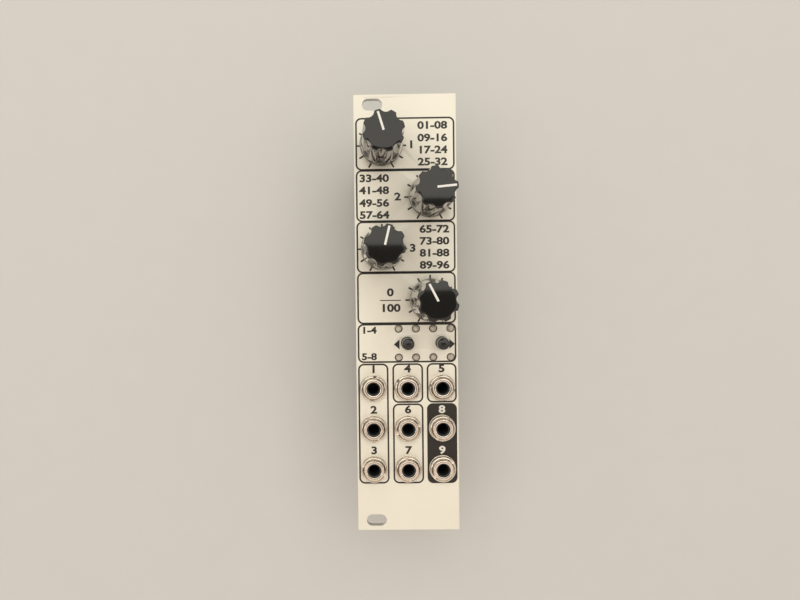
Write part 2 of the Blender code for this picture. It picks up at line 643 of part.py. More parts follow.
def make_jacks():
    """Make the socket housings with their bushings, bores and terminals, and the slotted nuts on them."""
    low_z = FRONT_BOARD_FRONT_Z + SEAT_GAP
    high_z = low_z + JACK_BODY_HEIGHT
    top_z = PANEL_FRONT_Z + JACK_BUSHING_RISE
    case = bmesh.new()
    add_block(case, (-JACK_BODY_WIDTH / 2, -JACK_BORE_OFFSET - JACK_BODY_LENGTH / 2, low_z),
              (JACK_BODY_WIDTH / 2, -JACK_BORE_OFFSET + JACK_BODY_LENGTH / 2, high_z))
    jack = solid_from(case, "jack_pattern")

    bushing = turned("jack_bushing", [
        (0.0, top_z),
        (JACK_BUSHING_RADIUS - JACK_BUSHING_CHAMFER, top_z),
        (JACK_BUSHING_RADIUS, top_z - JACK_BUSHING_CHAMFER),
        (JACK_BUSHING_RADIUS, high_z - JOIN_DEPTH),
        (0.0, high_z - JOIN_DEPTH),
    ])
    combine(jack, bushing, "UNION")
    pins = bmesh.new()
    add_pins(pins, jack_pin_places(), FRONT_BOARD_BACK_Z - PIN_TAIL, low_z + JOIN_DEPTH)
    combine(jack, solid_from(pins, "jack_pins"), "UNION")
    bore = bmesh.new()
    add_bar(bore, JACK_BORE_RADIUS, low_z + JACK_FLOOR, top_z + CUT_OVERRUN, sides=HOLE_SIDES)
    combine(jack, solid_from(bore, "jack_bore"), "DIFFERENCE")
    settle(jack)
    places = [(x, y, 0.0) for x, y in jack_places()]
    place_copies(jack, [f"jack_{index + 1}" for index in range(len(places))], places, SOCKET_PLASTIC)

    inner = JACK_BUSHING_RADIUS + FIT_GAP
    nut_low = PANEL_FRONT_Z + SEAT_GAP
    nut_high = nut_low + JACK_NUT_THICKNESS
    nut = turned("jack_nut_pattern", [
        (inner, nut_high),
        (JACK_NUT_RADIUS - JACK_NUT_CHAMFER, nut_high),
        (JACK_NUT_RADIUS, nut_high - JACK_NUT_CHAMFER),
        (JACK_NUT_RADIUS, nut_low),
        (inner, nut_low),
        (inner, nut_high),
    ])
    slot = bmesh.new()
    add_block(slot, (-JACK_NUT_RADIUS - CUT_OVERRUN, -JACK_NUT_SLOT_WIDTH / 2, nut_high - JACK_NUT_SLOT_DEPTH),
              (JACK_NUT_RADIUS + CUT_OVERRUN, JACK_NUT_SLOT_WIDTH / 2, nut_high + CUT_OVERRUN))
    combine(nut, solid_from(slot, "nut_slot"), "DIFFERENCE")
    settle(nut)
    place_copies(nut, [f"jack_nut_{index + 1}" for index in range(len(places))], places, NICKEL, JACK_NUT_TURNS)


def make_lamps():
    """Make the eight domed lamps, with legs that reach through the front board."""
    top_z = PANEL_FRONT_Z + LAMP_RISE
    low_z = top_z - LAMP_BODY_HEIGHT
    dome_z = top_z - LAMP_RADIUS
    quarter = math.pi / 2 / DOME_RINGS
    profile = [(LAMP_RADIUS * math.sin(step * quarter), dome_z + LAMP_RADIUS * math.cos(step * quarter))
               for step in range(DOME_RINGS + 1)]
    profile += [
        (LAMP_RADIUS, low_z + LAMP_FLANGE_HEIGHT),
        (LAMP_RADIUS + LAMP_FLANGE, low_z + LAMP_FLANGE_HEIGHT),
        (LAMP_RADIUS + LAMP_FLANGE, low_z),
        (0.0, low_z),
    ]
    lamp = turned("lamp_pattern", profile, SMALL_SIDES)
    legs = bmesh.new()
    add_pins(legs, lamp_leg_places(), FRONT_BOARD_BACK_Z - PIN_TAIL, low_z + JOIN_DEPTH, LAMP_LEG_SIDE)
    combine(lamp, solid_from(legs, "lamp_legs"), "UNION")
    settle(lamp)
    places = [(x, y, 0.0) for x, y in lamp_places()]
    place_copies(lamp, [f"lamp_{index + 1}" for index in range(len(places))], places, LAMP_LENS)


def make_buttons():
    """Make the two switches and the long plungers that reach through the panel."""
    low_z = FRONT_BOARD_FRONT_Z + SEAT_GAP
    high_z = low_z + SWITCH_HEIGHT
    half = SWITCH_SIDE / 2
    case = bmesh.new()
    add_block(case, (-half, -half, low_z), (half, half, high_z))
    switch = solid_from(case, "switch_pattern")
    round_edges(switch, SWITCH_BEVEL)
    pins = bmesh.new()
    add_pins(pins, switch_pin_places(), FRONT_BOARD_BACK_Z - PIN_TAIL, low_z + SWITCH_HEIGHT / 2)
    combine(switch, solid_from(pins, "switch_pins"), "UNION")
    well = bmesh.new()
    add_bar(well, BUTTON_RADIUS + FIT_GAP, low_z + SWITCH_FLOOR, high_z + CUT_OVERRUN, sides=HOLE_SIDES)
    combine(switch, solid_from(well, "switch_well"), "DIFFERENCE")
    settle(switch)
    sides = ("left", "right")
    places = [(x, y, 0.0) for x, y in button_places()]
    place_copies(switch, [f"switch_{side}" for side in sides], places, SOCKET_PLASTIC)

    top_z = PANEL_FRONT_Z + BUTTON_RISE
    foot_z = low_z + SWITCH_FLOOR + BUTTON_TRAVEL + SEAT_GAP
    plunger = turned("button_pattern", [
        (0.0, top_z),
        (BUTTON_RADIUS - BUTTON_CHAMFER, top_z),
        (BUTTON_RADIUS, top_z - BUTTON_CHAMFER),
        (BUTTON_RADIUS, foot_z),
        (0.0, foot_z),
    ])
    settle(plunger)
    place_copies(plunger, [f"button_{side}" for side in sides], places, BUTTON_PLASTIC)


def make_board(name, low, high, pin_holes, other_holes):
    """Make a circuit board with square pin holes, and with other holes given by middle, width and length."""
    shape = bmesh.new()
    add_block(shape, low, high)
    board = solid_from(shape, name)
    below, above = low[2] - CUT_OVERRUN, high[2] + CUT_OVERRUN
    holes = bmesh.new()
    add_pins(holes, pin_holes, below, above, HOLE_SIDE)
    for x, y, wide, long in other_holes:
        add_block(holes, (x - wide / 2 - FIT_GAP, y - long / 2 - FIT_GAP, below),
                  (x + wide / 2 + FIT_GAP, y + long / 2 + FIT_GAP, above))
    combine(board, solid_from(holes, name + "_holes"), "DIFFERENCE")
    dress(board, BOARD_RESIN)


def make_boards():
    """Make the front board behind the controls and the rear board behind it."""
    half_width = PANEL_WIDTH / 2 - FRONT_BOARD_SIDE_INSET
    links = [(0.0, LINK_TOP_Y), (0.0, LINK_BOTTOM_Y)]
    front_pins = moved(pot_pin_places(), knob_places()) + moved(jack_pin_places(), jack_places())
    front_pins += moved(switch_pin_places(), button_places()) + moved(link_pin_places(), links)
    lugs = [(x, y, POT_LUG_WIDTH, POT_LUG_LENGTH) for x, y in moved(pot_lug_places(), knob_places())]
    legs = [(x, y, LAMP_LEG_SIDE, LAMP_LEG_SIDE) for x, y in moved(lamp_leg_places(), lamp_places())]
    make_board("front_board", (-half_width, FRONT_BOARD_LOW_Y, FRONT_BOARD_BACK_Z),
               (half_width, FRONT_BOARD_HIGH_Y, FRONT_BOARD_FRONT_Z), front_pins, lugs + legs)

    rear_pins = moved(link_pin_places(), links) + moved(power_pin_places(), [(0.0, POWER_Y)])
    rear_pins += moved(capacitor_leg_places(), capacitor_places())
    make_board("rear_board", (-REAR_BOARD_WIDTH / 2, REAR_BOARD_LOW_Y, REAR_BOARD_BACK_Z),
               (REAR_BOARD_WIDTH / 2, REAR_BOARD_HIGH_Y, REAR_BOARD_FRONT_Z), rear_pins, [])


def make_links():
    """Make the two pin strips behind the front board and the two sockets on the rear board."""
    half_length, half_width = LINK_LENGTH / 2, LINK_WIDTH / 2
    strip_high = FRONT_BOARD_BACK_Z - SEAT_GAP
    strip_low = strip_high - LINK_STRIP_HEIGHT
    socket_low = REAR_BOARD_FRONT_Z + SEAT_GAP
    socket_high = socket_low + LINK_SOCKET_HEIGHT
    pin_low = socket_low + LINK_SOCKET_FLOOR + SEAT_GAP

    bar = bmesh.new()
    add_block(bar, (-half_length, -half_width, strip_low), (half_length, half_width, strip_high))
    strip = solid_from(bar, "strip_pattern")
    pins = bmesh.new()
    add_pins(pins, link_pin_places(), pin_low, FRONT_BOARD_FRONT_Z + PIN_TAIL)
    combine(strip, solid_from(pins, "strip_pins"), "UNION")
    settle(strip)

    bar = bmesh.new()
    add_block(bar, (-half_length, -half_width, socket_low), (half_length, half_width, socket_high))
    socket = solid_from(bar, "socket_pattern")
    wells = bmesh.new()
    add_pins(wells, link_pin_places(), socket_low + LINK_SOCKET_FLOOR, socket_high + CUT_OVERRUN, HOLE_SIDE)
    combine(socket, solid_from(wells, "socket_wells"), "DIFFERENCE")
    tails = bmesh.new()
    add_pins(tails, link_pin_places(), REAR_BOARD_BACK_Z - PIN_TAIL, socket_low + JOIN_DEPTH)
    combine(socket, solid_from(tails, "socket_tails"), "UNION")
    settle(socket)

    places = [(0.0, LINK_TOP_Y, 0.0), (0.0, LINK_BOTTOM_Y, 0.0)]
    place_copies(strip, ["link_pins_top", "link_pins_bottom"], places, LINK_PLASTIC)
    place_copies(socket, ["link_socket_top", "link_socket_bottom"], places, LINK_PLASTIC)


def make_power_header():
    """Make the power header behind the rear board: a keyed shroud, and the base that carries the pins."""
    half_length, half_width = POWER_LENGTH / 2, POWER_WIDTH / 2
    foot_z = POWER_FLOOR + SEAT_GAP
    shape = bmesh.new()
    add_block(shape, (-half_length, -half_width, foot_z), (half_length, half_width, POWER_HEIGHT))
    shroud = solid_from(shape, "power_header")
    hollow = bmesh.new()
    add_block(hollow, (POWER_WALL - half_length, POWER_WALL - half_width, 0.0),
              (half_length - POWER_WALL, half_width - POWER_WALL, POWER_HEIGHT + CUT_OVERRUN))
    combine(shroud, solid_from(hollow, "power_hollow"), "DIFFERENCE")
    key = bmesh.new()
    key_low = (-POWER_KEY_WIDTH / 2, half_width - POWER_WALL - CUT_OVERRUN, POWER_HEIGHT - POWER_KEY_DEPTH)
    add_block(key, key_low, (POWER_KEY_WIDTH / 2, half_width + CUT_OVERRUN, POWER_HEIGHT + CUT_OVERRUN))
    combine(shroud, solid_from(key, "power_key"), "DIFFERENCE")
    settle(shroud)

    bar = bmesh.new()
    add_block(bar, (-half_length, -half_width, 0.0), (half_length, half_width, POWER_FLOOR))
    base = solid_from(bar, "power_pins")
    pins = bmesh.new()
    add_pins(pins, power_pin_places(), -THROUGH_TAIL, POWER_HEIGHT - POWER_PIN_DROP)
    combine(base, solid_from(pins, "power_pin_rows"), "UNION")
    settle(base)
    for item in (shroud, base):
        dress(item, LINK_PLASTIC)
        face_back(item, 0.0, POWER_Y, REAR_BOARD_BACK_Z - SEAT_GAP)


def make_capacitors():
    """Make the two capacitors, each with the groove rolled into its can, behind the rear board."""
    groove_z = CAPACITOR_GROOVE * 4
    can = turned("can_pattern", [
        (0.0, CAPACITOR_HEIGHT),
        (CAPACITOR_RADIUS - CAPACITOR_GROOVE, CAPACITOR_HEIGHT),
        (CAPACITOR_RADIUS, CAPACITOR_HEIGHT - CAPACITOR_GROOVE),
        (CAPACITOR_RADIUS, groove_z),
        (CAPACITOR_RADIUS - CAPACITOR_GROOVE, groove_z - CAPACITOR_GROOVE),
        (CAPACITOR_RADIUS, groove_z - 2 * CAPACITOR_GROOVE),
        (CAPACITOR_RADIUS, 0.0),
        (0.0, 0.0),
    ])
    legs = bmesh.new()
    add_pins(legs, capacitor_leg_places(), -THROUGH_TAIL, JOIN_DEPTH)
    combine(can, solid_from(legs, "can_legs"), "UNION")
    settle(can)
    places = [(x, y, REAR_BOARD_BACK_Z - SEAT_GAP) for x, y in capacitor_places()]
    for item in place_copies(can, ["capacitor_left", "capacitor_right"], places, CAN_SLEEVE):
        item.rotation_euler.x = math.pi


def make_chip(name, width, leads, x, y):
    """Make a chip with leads along two sides, and lay it on the back of the rear board."""
    half_length = leads * CHIP_LEAD_PITCH / 2
    shape = bmesh.new()
    add_block(shape, (-width / 2, -half_length, 0.0), (width / 2, half_length, CHIP_HEIGHT))
    chip = solid_from(shape, name)
    reach = width / 2 + CHIP_LEAD_REACH
    root = width / 2 - JOIN_DEPTH
    shoulder_z = CHIP_HEIGHT / 2
    outline = [
        (root, shoulder_z - CHIP_LEAD_THICKNESS),
        (root, shoulder_z),
        (width / 2 + CHIP_LEAD_THICKNESS, shoulder_z),
        (reach, CHIP_LEAD_THICKNESS),
        (reach, 0.0),
        (reach - 2 * CHIP_LEAD_THICKNESS, 0.0),
    ]
    metal = bmesh.new()
    for step in range(leads):
        lead_y = (step - (leads - 1) / 2) * CHIP_LEAD_PITCH
        for side in (-1, 1):
            add_outline(metal, [(side * out, z) for out, z in outline], lead_y - CHIP_LEAD_WIDTH / 2,
                        CHIP_LEAD_WIDTH)
    combine(chip, solid_from(metal, name + "_leads"), "UNION")
    settle(chip)
    dress(chip, CHIP_RESIN)
    face_back(chip, x, y, REAR_BOARD_BACK_Z - SEAT_GAP)


make_front_panel()
make_knobs()
make_pots()
make_jacks()
make_lamps()
make_buttons()
make_boards()
make_links()
make_power_header()
make_capacitors()
make_chip("processor", PROCESSOR_WIDTH, PROCESSOR_LEADS, PROCESSOR_X, PROCESSOR_Y)
make_chip("converter", CONVERTER_WIDTH, CONVERTER_LEADS, CONVERTER_X, CONVERTER_Y)
make_chip("regulator", REGULATOR_WIDTH, REGULATOR_LEADS, REGULATOR_X, REGULATOR_Y)
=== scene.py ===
"""Visible pieces, finishes and studio of a narrow synthesizer effects module.

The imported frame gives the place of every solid. Each sub-assembly class below builds finer pieces
there, lets them ride on the frame's bodies and hides the solids that they stand for. Lengths are in
metres, as numbers times MM. Tables of points, places and words without MM are in millimetres. +Z points
out of the front panel and +Y to its top edge.
"""

from __future__ import annotations

import json
import logging
import math
from collections.abc import Callable, Iterable, Sequence
from dataclasses import dataclass, field
from enum import Enum

import bmesh
import bpy
from mathutils import Euler, Matrix, Vector

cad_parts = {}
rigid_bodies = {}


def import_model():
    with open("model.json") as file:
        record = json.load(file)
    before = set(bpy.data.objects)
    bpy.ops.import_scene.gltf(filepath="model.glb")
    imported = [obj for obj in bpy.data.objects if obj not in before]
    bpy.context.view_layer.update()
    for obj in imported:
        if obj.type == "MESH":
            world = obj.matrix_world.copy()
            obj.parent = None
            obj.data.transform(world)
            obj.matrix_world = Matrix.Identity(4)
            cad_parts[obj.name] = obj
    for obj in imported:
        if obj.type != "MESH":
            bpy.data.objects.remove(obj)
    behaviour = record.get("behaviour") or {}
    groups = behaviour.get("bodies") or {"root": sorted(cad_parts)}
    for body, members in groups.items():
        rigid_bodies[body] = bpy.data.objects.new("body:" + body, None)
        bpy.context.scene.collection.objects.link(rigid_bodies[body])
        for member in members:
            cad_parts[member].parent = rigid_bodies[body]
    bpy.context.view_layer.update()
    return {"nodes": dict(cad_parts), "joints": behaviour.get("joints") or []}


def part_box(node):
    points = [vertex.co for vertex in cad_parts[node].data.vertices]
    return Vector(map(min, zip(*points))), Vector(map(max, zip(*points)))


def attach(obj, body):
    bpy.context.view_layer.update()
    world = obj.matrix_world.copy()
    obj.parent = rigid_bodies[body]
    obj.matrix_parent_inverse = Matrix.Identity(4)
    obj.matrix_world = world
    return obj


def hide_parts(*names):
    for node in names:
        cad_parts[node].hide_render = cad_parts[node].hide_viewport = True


LOG = logging.getLogger("effects_module")
MM = 0.001
MERGE = 1e-7
SMOOTH_ANGLE = math.radians(35.0)
FLAT_ANGLE = math.radians(12.0)
FLAT_SHARE = 6.0
PIN_PITCH = 2.54 * MM
LEAD_PITCH = 1.27 * MM
SIDES = ("left", "right")
UPSIDE_DOWN = Matrix.Rotation(math.pi, 4, "X")

Part = bmesh.types.BMesh
Point = tuple[float, float]
Points = tuple[Point, ...]
Triple = tuple[float, float, float]
Colour = tuple[float, float, float]
Words = tuple[tuple[str, float, float, float], ...]
Fields = tuple[tuple[tuple[float, ...], tuple[float, ...], float], ...]


class Slot(Enum):
    """The record's material slots."""

    PANEL = "panel_metal"
    KNOB = "knob_plastic"
    POT = "pot_case"
    NICKEL = "nickel"
    SOCKET = "socket_plastic"
    LAMP = "lamp_lens"
    BUTTON = "button_plastic"
    BOARD = "board_resin"
    LINK = "link_plastic"
    CHIP = "chip_resin"
    SLEEVE = "can_sleeve"


@dataclass(frozen=True)
class Finish:
    """One surface finish, mixed from two colours by a fine grain.

    Attributes:
        name: The material's name.
        colour: The main linear colour.
        second: The colour that the grain mixes in.
        roughness: The mean roughness.
        spread: How far the grain moves the roughness to each side.
        metallic: 1 for bare metal.
        grain: Size of the grain in millimetres.
        depth: Height of the grain's relief in millimetres.
        stretch: How the grain is compressed along X, Y and Z.
        clear: Share of light that passes through.
        coat: Weight of a clear top coat.
    """

    name: str
    colour: Colour
    second: Colour
    roughness: float
    spread: float = 0.05
    metallic: float = 0.0
    grain: float = 0.25
    depth: float = 0.0
    stretch: Triple = (1.0, 1.0, 1.0)
    clear: float = 0.0
    coat: float = 0.0


PANEL_FACE = Finish("satin_silver", (0.87, 0.83, 0.73), (0.81, 0.77, 0.67), 0.42, 0.07, 0.18, 0.22, 0.006)
PANEL_EDGE = Finish("cut_aluminium", (0.82, 0.81, 0.78), (0.77, 0.76, 0.73), 0.34, 0.06, 1.0, 0.15, 0.002,
                    (0.15, 0.15, 1.0))
PANEL_INK = Finish("black_print", (0.012, 0.009, 0.007), (0.020, 0.016, 0.012), 0.42, 0.06, grain=0.15)
LIGHT_INK = Finish("white_print", (0.80, 0.77, 0.72), (0.70, 0.67, 0.62), 0.45, 0.05, grain=0.15)
KNOB_BLACK = Finish("glossy_black", (0.008, 0.007, 0.006), (0.012, 0.011, 0.010), 0.09, 0.02, grain=0.8)
KNOB_SIDE = Finish("glossy_black_side", KNOB_BLACK.colour, KNOB_BLACK.second, 0.10, 0.02, grain=0.8, coat=1.0)
POINTER_WHITE = Finish("pointer_paint", (0.86, 0.84, 0.80), (0.74, 0.72, 0.68), 0.40, 0.06, grain=0.2)
NICKEL = Finish("bright_nickel", (0.88, 0.82, 0.74), (0.68, 0.61, 0.53), 0.13, 0.04, 1.0, 0.35, 0.002)
PRESSED_STEEL = Finish("pressed_steel", (0.62, 0.62, 0.60), (0.50, 0.50, 0.48), 0.32, 0.08, 1.0, 0.3, 0.004,
                       (1.0, 0.25, 1.0))
TURNED_BRASS = Finish("plated_brass", (0.72, 0.66, 0.54), (0.60, 0.54, 0.42), 0.28, 0.07, 1.0, 0.2, 0.004,
                      (0.3, 0.3, 3.0))
GOLD = Finish("gold_plate", (0.86, 0.62, 0.28), (0.74, 0.52, 0.22), 0.24, 0.06, 1.0, 0.2)
TIN = Finish("tin_plate", (0.74, 0.73, 0.71), (0.58, 0.57, 0.55), 0.30, 0.10, 1.0, 0.25, 0.006)
SOLDER = Finish("solder", (0.80, 0.79, 0.77), (0.64, 0.63, 0.61), 0.24, 0.08, 1.0, 0.5, 0.010)
MOULDED = Finish("moulded_black", (0.020, 0.020, 0.021), (0.032, 0.032, 0.033), 0.45, 0.08, 0.0, 0.18, 0.008)
POT_RESIN = Finish("pot_resin", (0.055, 0.060, 0.066), (0.075, 0.080, 0.086), 0.50, 0.07, 0.0, 0.2, 0.006)
BUTTON_BLACK = Finish("button_black", (0.012, 0.011, 0.011), (0.020, 0.019, 0.018), 0.18, 0.05, 0.0, 0.2,
                      0.002)
LENS = Finish("clear_epoxy", (0.80, 0.73, 0.62), (0.72, 0.64, 0.53), 0.08, 0.02, grain=0.9, clear=0.45,
              coat=1.0)
CHIP_BLACK = Finish("chip_epoxy", (0.026, 0.026, 0.028), (0.040, 0.040, 0.042), 0.55, 0.08, 0.0, 0.12, 0.006)
MASK = Finish("solder_mask", (0.016, 0.024, 0.020), (0.022, 0.032, 0.027), 0.30, 0.05, 0.0, 1.2, 0.004,
              coat=0.3)
TRACK = Finish("masked_track", (0.030, 0.045, 0.038), (0.038, 0.055, 0.046), 0.30, 0.05, grain=0.6, coat=0.3)
LAMINATE = Finish("glass_laminate", (0.42, 0.38, 0.20), (0.32, 0.28, 0.13), 0.55, 0.08, 0.0, 0.25, 0.010,
                  (0.4, 0.4, 3.0))
SLEEVE = Finish("shrunk_sleeve", (0.020, 0.024, 0.050), (0.028, 0.034, 0.066), 0.30, 0.06, 0.0, 0.7, 0.004,
                coat=0.3)
STRIPE = Finish("sleeve_stripe", (0.50, 0.52, 0.56), (0.42, 0.44, 0.48), 0.35, 0.05, grain=0.4)
ALUMINIUM = Finish("can_aluminium", (0.80, 0.80, 0.80), (0.68, 0.68, 0.68), 0.26, 0.07, 1.0, 0.2, 0.003,
                   (2.0, 0.2, 1.0))
CERAMIC_TAN = Finish("tan_ceramic", (0.34, 0.24, 0.15), (0.28, 0.19, 0.11), 0.45, grain=0.2)
CERAMIC_BLACK = Finish("black_ceramic", (0.018, 0.018, 0.020), (0.026, 0.026, 0.028), 0.30, grain=0.2)
FLOOR = Finish("pale_floor", (0.62, 0.61, 0.59), (0.61, 0.60, 0.58), 0.70, grain=8.0)


def grain_group() -> bpy.types.NodeTree:
    """Makes the node group that all finishes share.

    Returns:
        A group that puts out a mask from 0 to 1 and a normal with the grain's relief.
    """
    broad_scale, fine_share = 60.0, 0.55
    tree = bpy.data.node_groups.new("surface_grain", "ShaderNodeTree")
    for name, kind in (("Scale", "Float"), ("Stretch", "Vector"), ("Depth", "Float")):
        tree.interface.new_socket(name, in_out="INPUT", socket_type=f"NodeSocket{kind}")
    for name, kind in (("Mask", "Float"), ("Normal", "Vector")):
        tree.interface.new_socket(name, in_out="OUTPUT", socket_type=f"NodeSocket{kind}")
    add, link = tree.nodes.new, tree.links.new
    given, out = add("NodeGroupInput"), add("NodeGroupOutput")
    place, mapping = add("ShaderNodeTexCoord"), add("ShaderNodeMapping")
    fine, broad = add("ShaderNodeTexNoise"), add("ShaderNodeTexNoise")
    share, mix, bump = add("ShaderNodeMath"), add("ShaderNodeMath"), add("ShaderNodeBump")
    fine.inputs["Detail"].default_value = 5.0
    broad.inputs["Scale"].default_value = broad_scale
    broad.inputs["Detail"].default_value = 3.0
    share.operation, share.inputs[1].default_value = "MULTIPLY", fine_share
    mix.operation, mix.inputs[1].default_value = "MULTIPLY_ADD", 1.0 - fine_share
    bump.inputs["Strength"].default_value = 1.0
    link(place.outputs["Object"], mapping.inputs["Vector"])
    link(given.outputs["Stretch"], mapping.inputs["Scale"])
    link(mapping.outputs["Vector"], fine.inputs["Vector"])
    link(given.outputs["Scale"], fine.inputs["Scale"])
    link(place.outputs["Object"], broad.inputs["Vector"])
    link(fine.outputs["Fac"], share.inputs[0])
    link(broad.outputs["Fac"], mix.inputs[0])
    link(share.outputs[0], mix.inputs[2])
    link(fine.outputs["Fac"], bump.inputs["Height"])
    link(given.outputs["Depth"], bump.inputs["Distance"])
    link(mix.outputs[0], out.inputs["Mask"])
    link(bump.outputs["Normal"], out.inputs["Normal"])
    return tree


@dataclass
class Palette:
    """Makes each finish's material once.

    Attributes:
        grain: The node group that the finishes share.
        made: The materials made so far, by name.
        colour_span: The part of the grain's mask over which the two colours mix.
        gloss_span: The part over which the roughness changes.
        coat_roughness: Roughness of every clear top coat.
    """

    grain: bpy.types.NodeTree = field(default_factory=grain_group)
    made: dict[str, bpy.types.Material] = field(default_factory=dict)
    colour_span: Point = (0.35, 0.65)
    gloss_span: Point = (0.3, 0.7)
    coat_roughness: float = 0.08

    def get(self, finish: Finish) -> bpy.types.Material:
        """Returns a finish's material.

        Args:
            finish: The finish to show.

        Returns:
            The material, made at its first use.
        """
        if finish.name not in self.made:
            self.made[finish.name] = self._make(finish)
        return self.made[finish.name]

    def _make(self, finish: Finish) -> bpy.types.Material:
        """Builds the node tree of one finish.

        Args:
            finish: The finish to build.

        Returns:
            The new material.
        """
        material = bpy.data.materials.new(finish.name)
        material.use_nodes = True
        tree = material.node_tree
        shader = tree.nodes["Principled BSDF"]
        shader.inputs["Metallic"].default_value = finish.metallic
        shader.inputs["Transmission Weight"].default_value = finish.clear
        shader.inputs["Coat Weight"].default_value = finish.coat
        shader.inputs["Coat Roughness"].default_value = self.coat_roughness
        grain = tree.nodes.new("ShaderNodeGroup")
        grain.node_tree = self.grain
        grain.inputs["Scale"].default_value = 1.0 / (finish.grain * MM)
        grain.inputs["Stretch"].default_value = finish.stretch
        grain.inputs["Depth"].default_value = finish.depth * MM
        ramp = tree.nodes.new("ShaderNodeValToRGB")
        colours = zip(ramp.color_ramp.elements, self.colour_span, (finish.second, finish.colour))
        for stop, place, colour in colours:
            stop.position, stop.color = place, (*colour, 1.0)
        gloss = tree.nodes.new("ShaderNodeMapRange")
        gloss.inputs["From Min"].default_value, gloss.inputs["From Max"].default_value = self.gloss_span
        gloss.inputs["To Min"].default_value = finish.roughness - finish.spread
        gloss.inputs["To Max"].default_value = finish.roughness + finish.spread
        tree.links.new(grain.outputs["Mask"], ramp.inputs["Fac"])
        tree.links.new(ramp.outputs["Color"], shader.inputs["Base Color"])
        tree.links.new(grain.outputs["Mask"], gloss.inputs["Value"])
        tree.links.new(gloss.outputs["Result"], shader.inputs["Roughness"])
        if finish.depth:
            tree.links.new(grain.outputs["Normal"], shader.inputs["Normal"])
        material.diffuse_color = (*finish.colour, 1.0)
        return material


def raised(level: float, *points: Point) -> list[Point]:
    """Turns points in millimetres, measured up from a level, into metres.

    Args:
        level: The level in metres.
        points: A radius or a place, and a height above the level, for each point.

    Returns:
        The points in metres.
    """
    return [(across * MM, level + up * MM) for across, up in points]


def rounded(low: Point, high: Point, radius: float, steps: int = 6) -> list[Point]:
    """Draws a rectangle with round corners, anticlockwise. A full radius makes a slot or a circle.

    Args:
        low: The lowest corner.
        high: The highest corner.
        radius: The corners' radius.
        steps: Edges in each corner.

    Returns:
        The outline.
    """
    centres = ((high[0] - radius, high[1] - radius), (low[0] + radius, high[1] - radius),
               (low[0] + radius, low[1] + radius), (high[0] - radius, low[1] + radius))
    outline = []
    for quarter, (x, y) in enumerate(centres):
        for step in range(steps + 1):
            angle = (quarter + step / steps) * math.pi / 2
            outline.append((x + radius * math.cos(angle), y + radius * math.sin(angle)))
    return outline


def around(x: float, y: float, half: Point, radius: float, steps: int = 6) -> list[Point]:
    """Returns the outline of a rectangle with round corners about a middle, from its half sizes."""
    return rounded((x - half[0], y - half[1]), (x + half[0], y + half[1]), radius, steps)


def circle(x: float, y: float, radius: float, sides: int = 40) -> list[Point]:
    """Returns a circle's outline."""
    turns = [2 * math.pi * step / sides for step in range(sides)]
    return [(x + radius * math.cos(turn), y + radius * math.sin(turn)) for turn in turns]


def shaded(part: Part) -> None:
    """Smooths a part's curved faces. Edges stay sharp at corners and between a flat and a narrow face.

    Args:
        part: The part to shade.
    """
    for face in part.faces:
        face.smooth = True
    areas = {face: face.calc_area() for face in part.faces}
    for edge in part.edges:
        if len(edge.link_faces) == 2:
            near, far = sorted(areas[face] for face in edge.link_faces)
            angle = edge.calc_face_angle(0.0)
            edge.smooth = angle < SMOOTH_ANGLE and (angle < FLAT_ANGLE or far < FLAT_SHARE * near)


def bevelled(part: Part, edges: Iterable[bmesh.types.BMEdge], width: float) -> None:
    """Rounds the given edges of a part."""
    bmesh.ops.bevel(part, geom=list(edges), offset=width, offset_type="OFFSET", segments=2, profile=0.5,
                    affect="EDGES", material=-1, clamp_overlap=True)


def block(low: Sequence[float], high: Sequence[float], edge: float = 0.0) -> Part:
    """Makes a box between two corners.

    Args:
        low: The lowest corner.
        high: The highest corner.
        edge: Width of its round edges, or 0 for sharp ones.

    Returns:
        The box.
    """
    part = bmesh.new()
    low, high = Vector(low), Vector(high)
    bmesh.ops.create_cube(part, size=1.0, matrix=Matrix.LocRotScale((low + high) / 2, None, high - low))
    if edge:
        bevelled(part, part.edges, edge)
    return part


def pin(x: float, y: float, half: float, low_z: float, high_z: float, edge: float) -> Part:
    """Returns an upright square pin about an axis."""
    return block((x - half, y - half, low_z), (x + half, y + half, high_z), edge)


def turned(profile: Sequence[Point], sides: int = 48, ring: bool = False) -> Part:
    """Turns a profile about Z.

    Args:
        profile: Radius and height of each point.
        sides: Faces round the axis.
        ring: True where the last point joins the first.

    Returns:
        The closed part.
    """
    part = bmesh.new()
    verts = [part.verts.new((radius, 0.0, z)) for radius, z in profile]
    edges = [part.edges.new(pair) for pair in zip(verts, verts[1:])]
    if ring:
        edges.append(part.edges.new((verts[-1], verts[0])))
    bmesh.ops.spin(part, geom=verts + edges, axis=(0.0, 0.0, 1.0), cent=(0.0, 0.0, 0.0), dvec=(0.0, 0.0, 0.0),
                   angle=2 * math.pi, steps=sides, use_merge=True, use_duplicate=False)
    bmesh.ops.remove_doubles(part, verts=part.verts[:], dist=MERGE)
    bmesh.ops.recalc_face_normals(part, faces=part.faces[:])
    return part


def prism(outline: Sequence[Point], low_z: float, high_z: float, edge: float = 0.0) -> Part:
    """Makes an upright bar.

    Args:
        outline: The bar's outline.
        low_z: Height of its foot.
        high_z: Height of its top.
        edge: Width of its round upper edges, or 0 for sharp ones.

    Returns:
        The bar.
    """
    part = bmesh.new()
    face = part.faces.new([part.verts.new((x, y, low_z)) for x, y in outline])
    upper = bmesh.ops.extrude_face_region(part, geom=[face])["geom"]
    lifted = [item for item in upper if isinstance(item, bmesh.types.BMVert)]
    bmesh.ops.translate(part, verts=lifted, vec=(0.0, 0.0, high_z - low_z))
    bmesh.ops.recalc_face_normals(part, faces=part.faces[:])
    if edge:
        top = [e for e in part.edges if all(v.co.z > (low_z + high_z) / 2 for v in e.verts)]
        bevelled(part, top, edge)
    return part


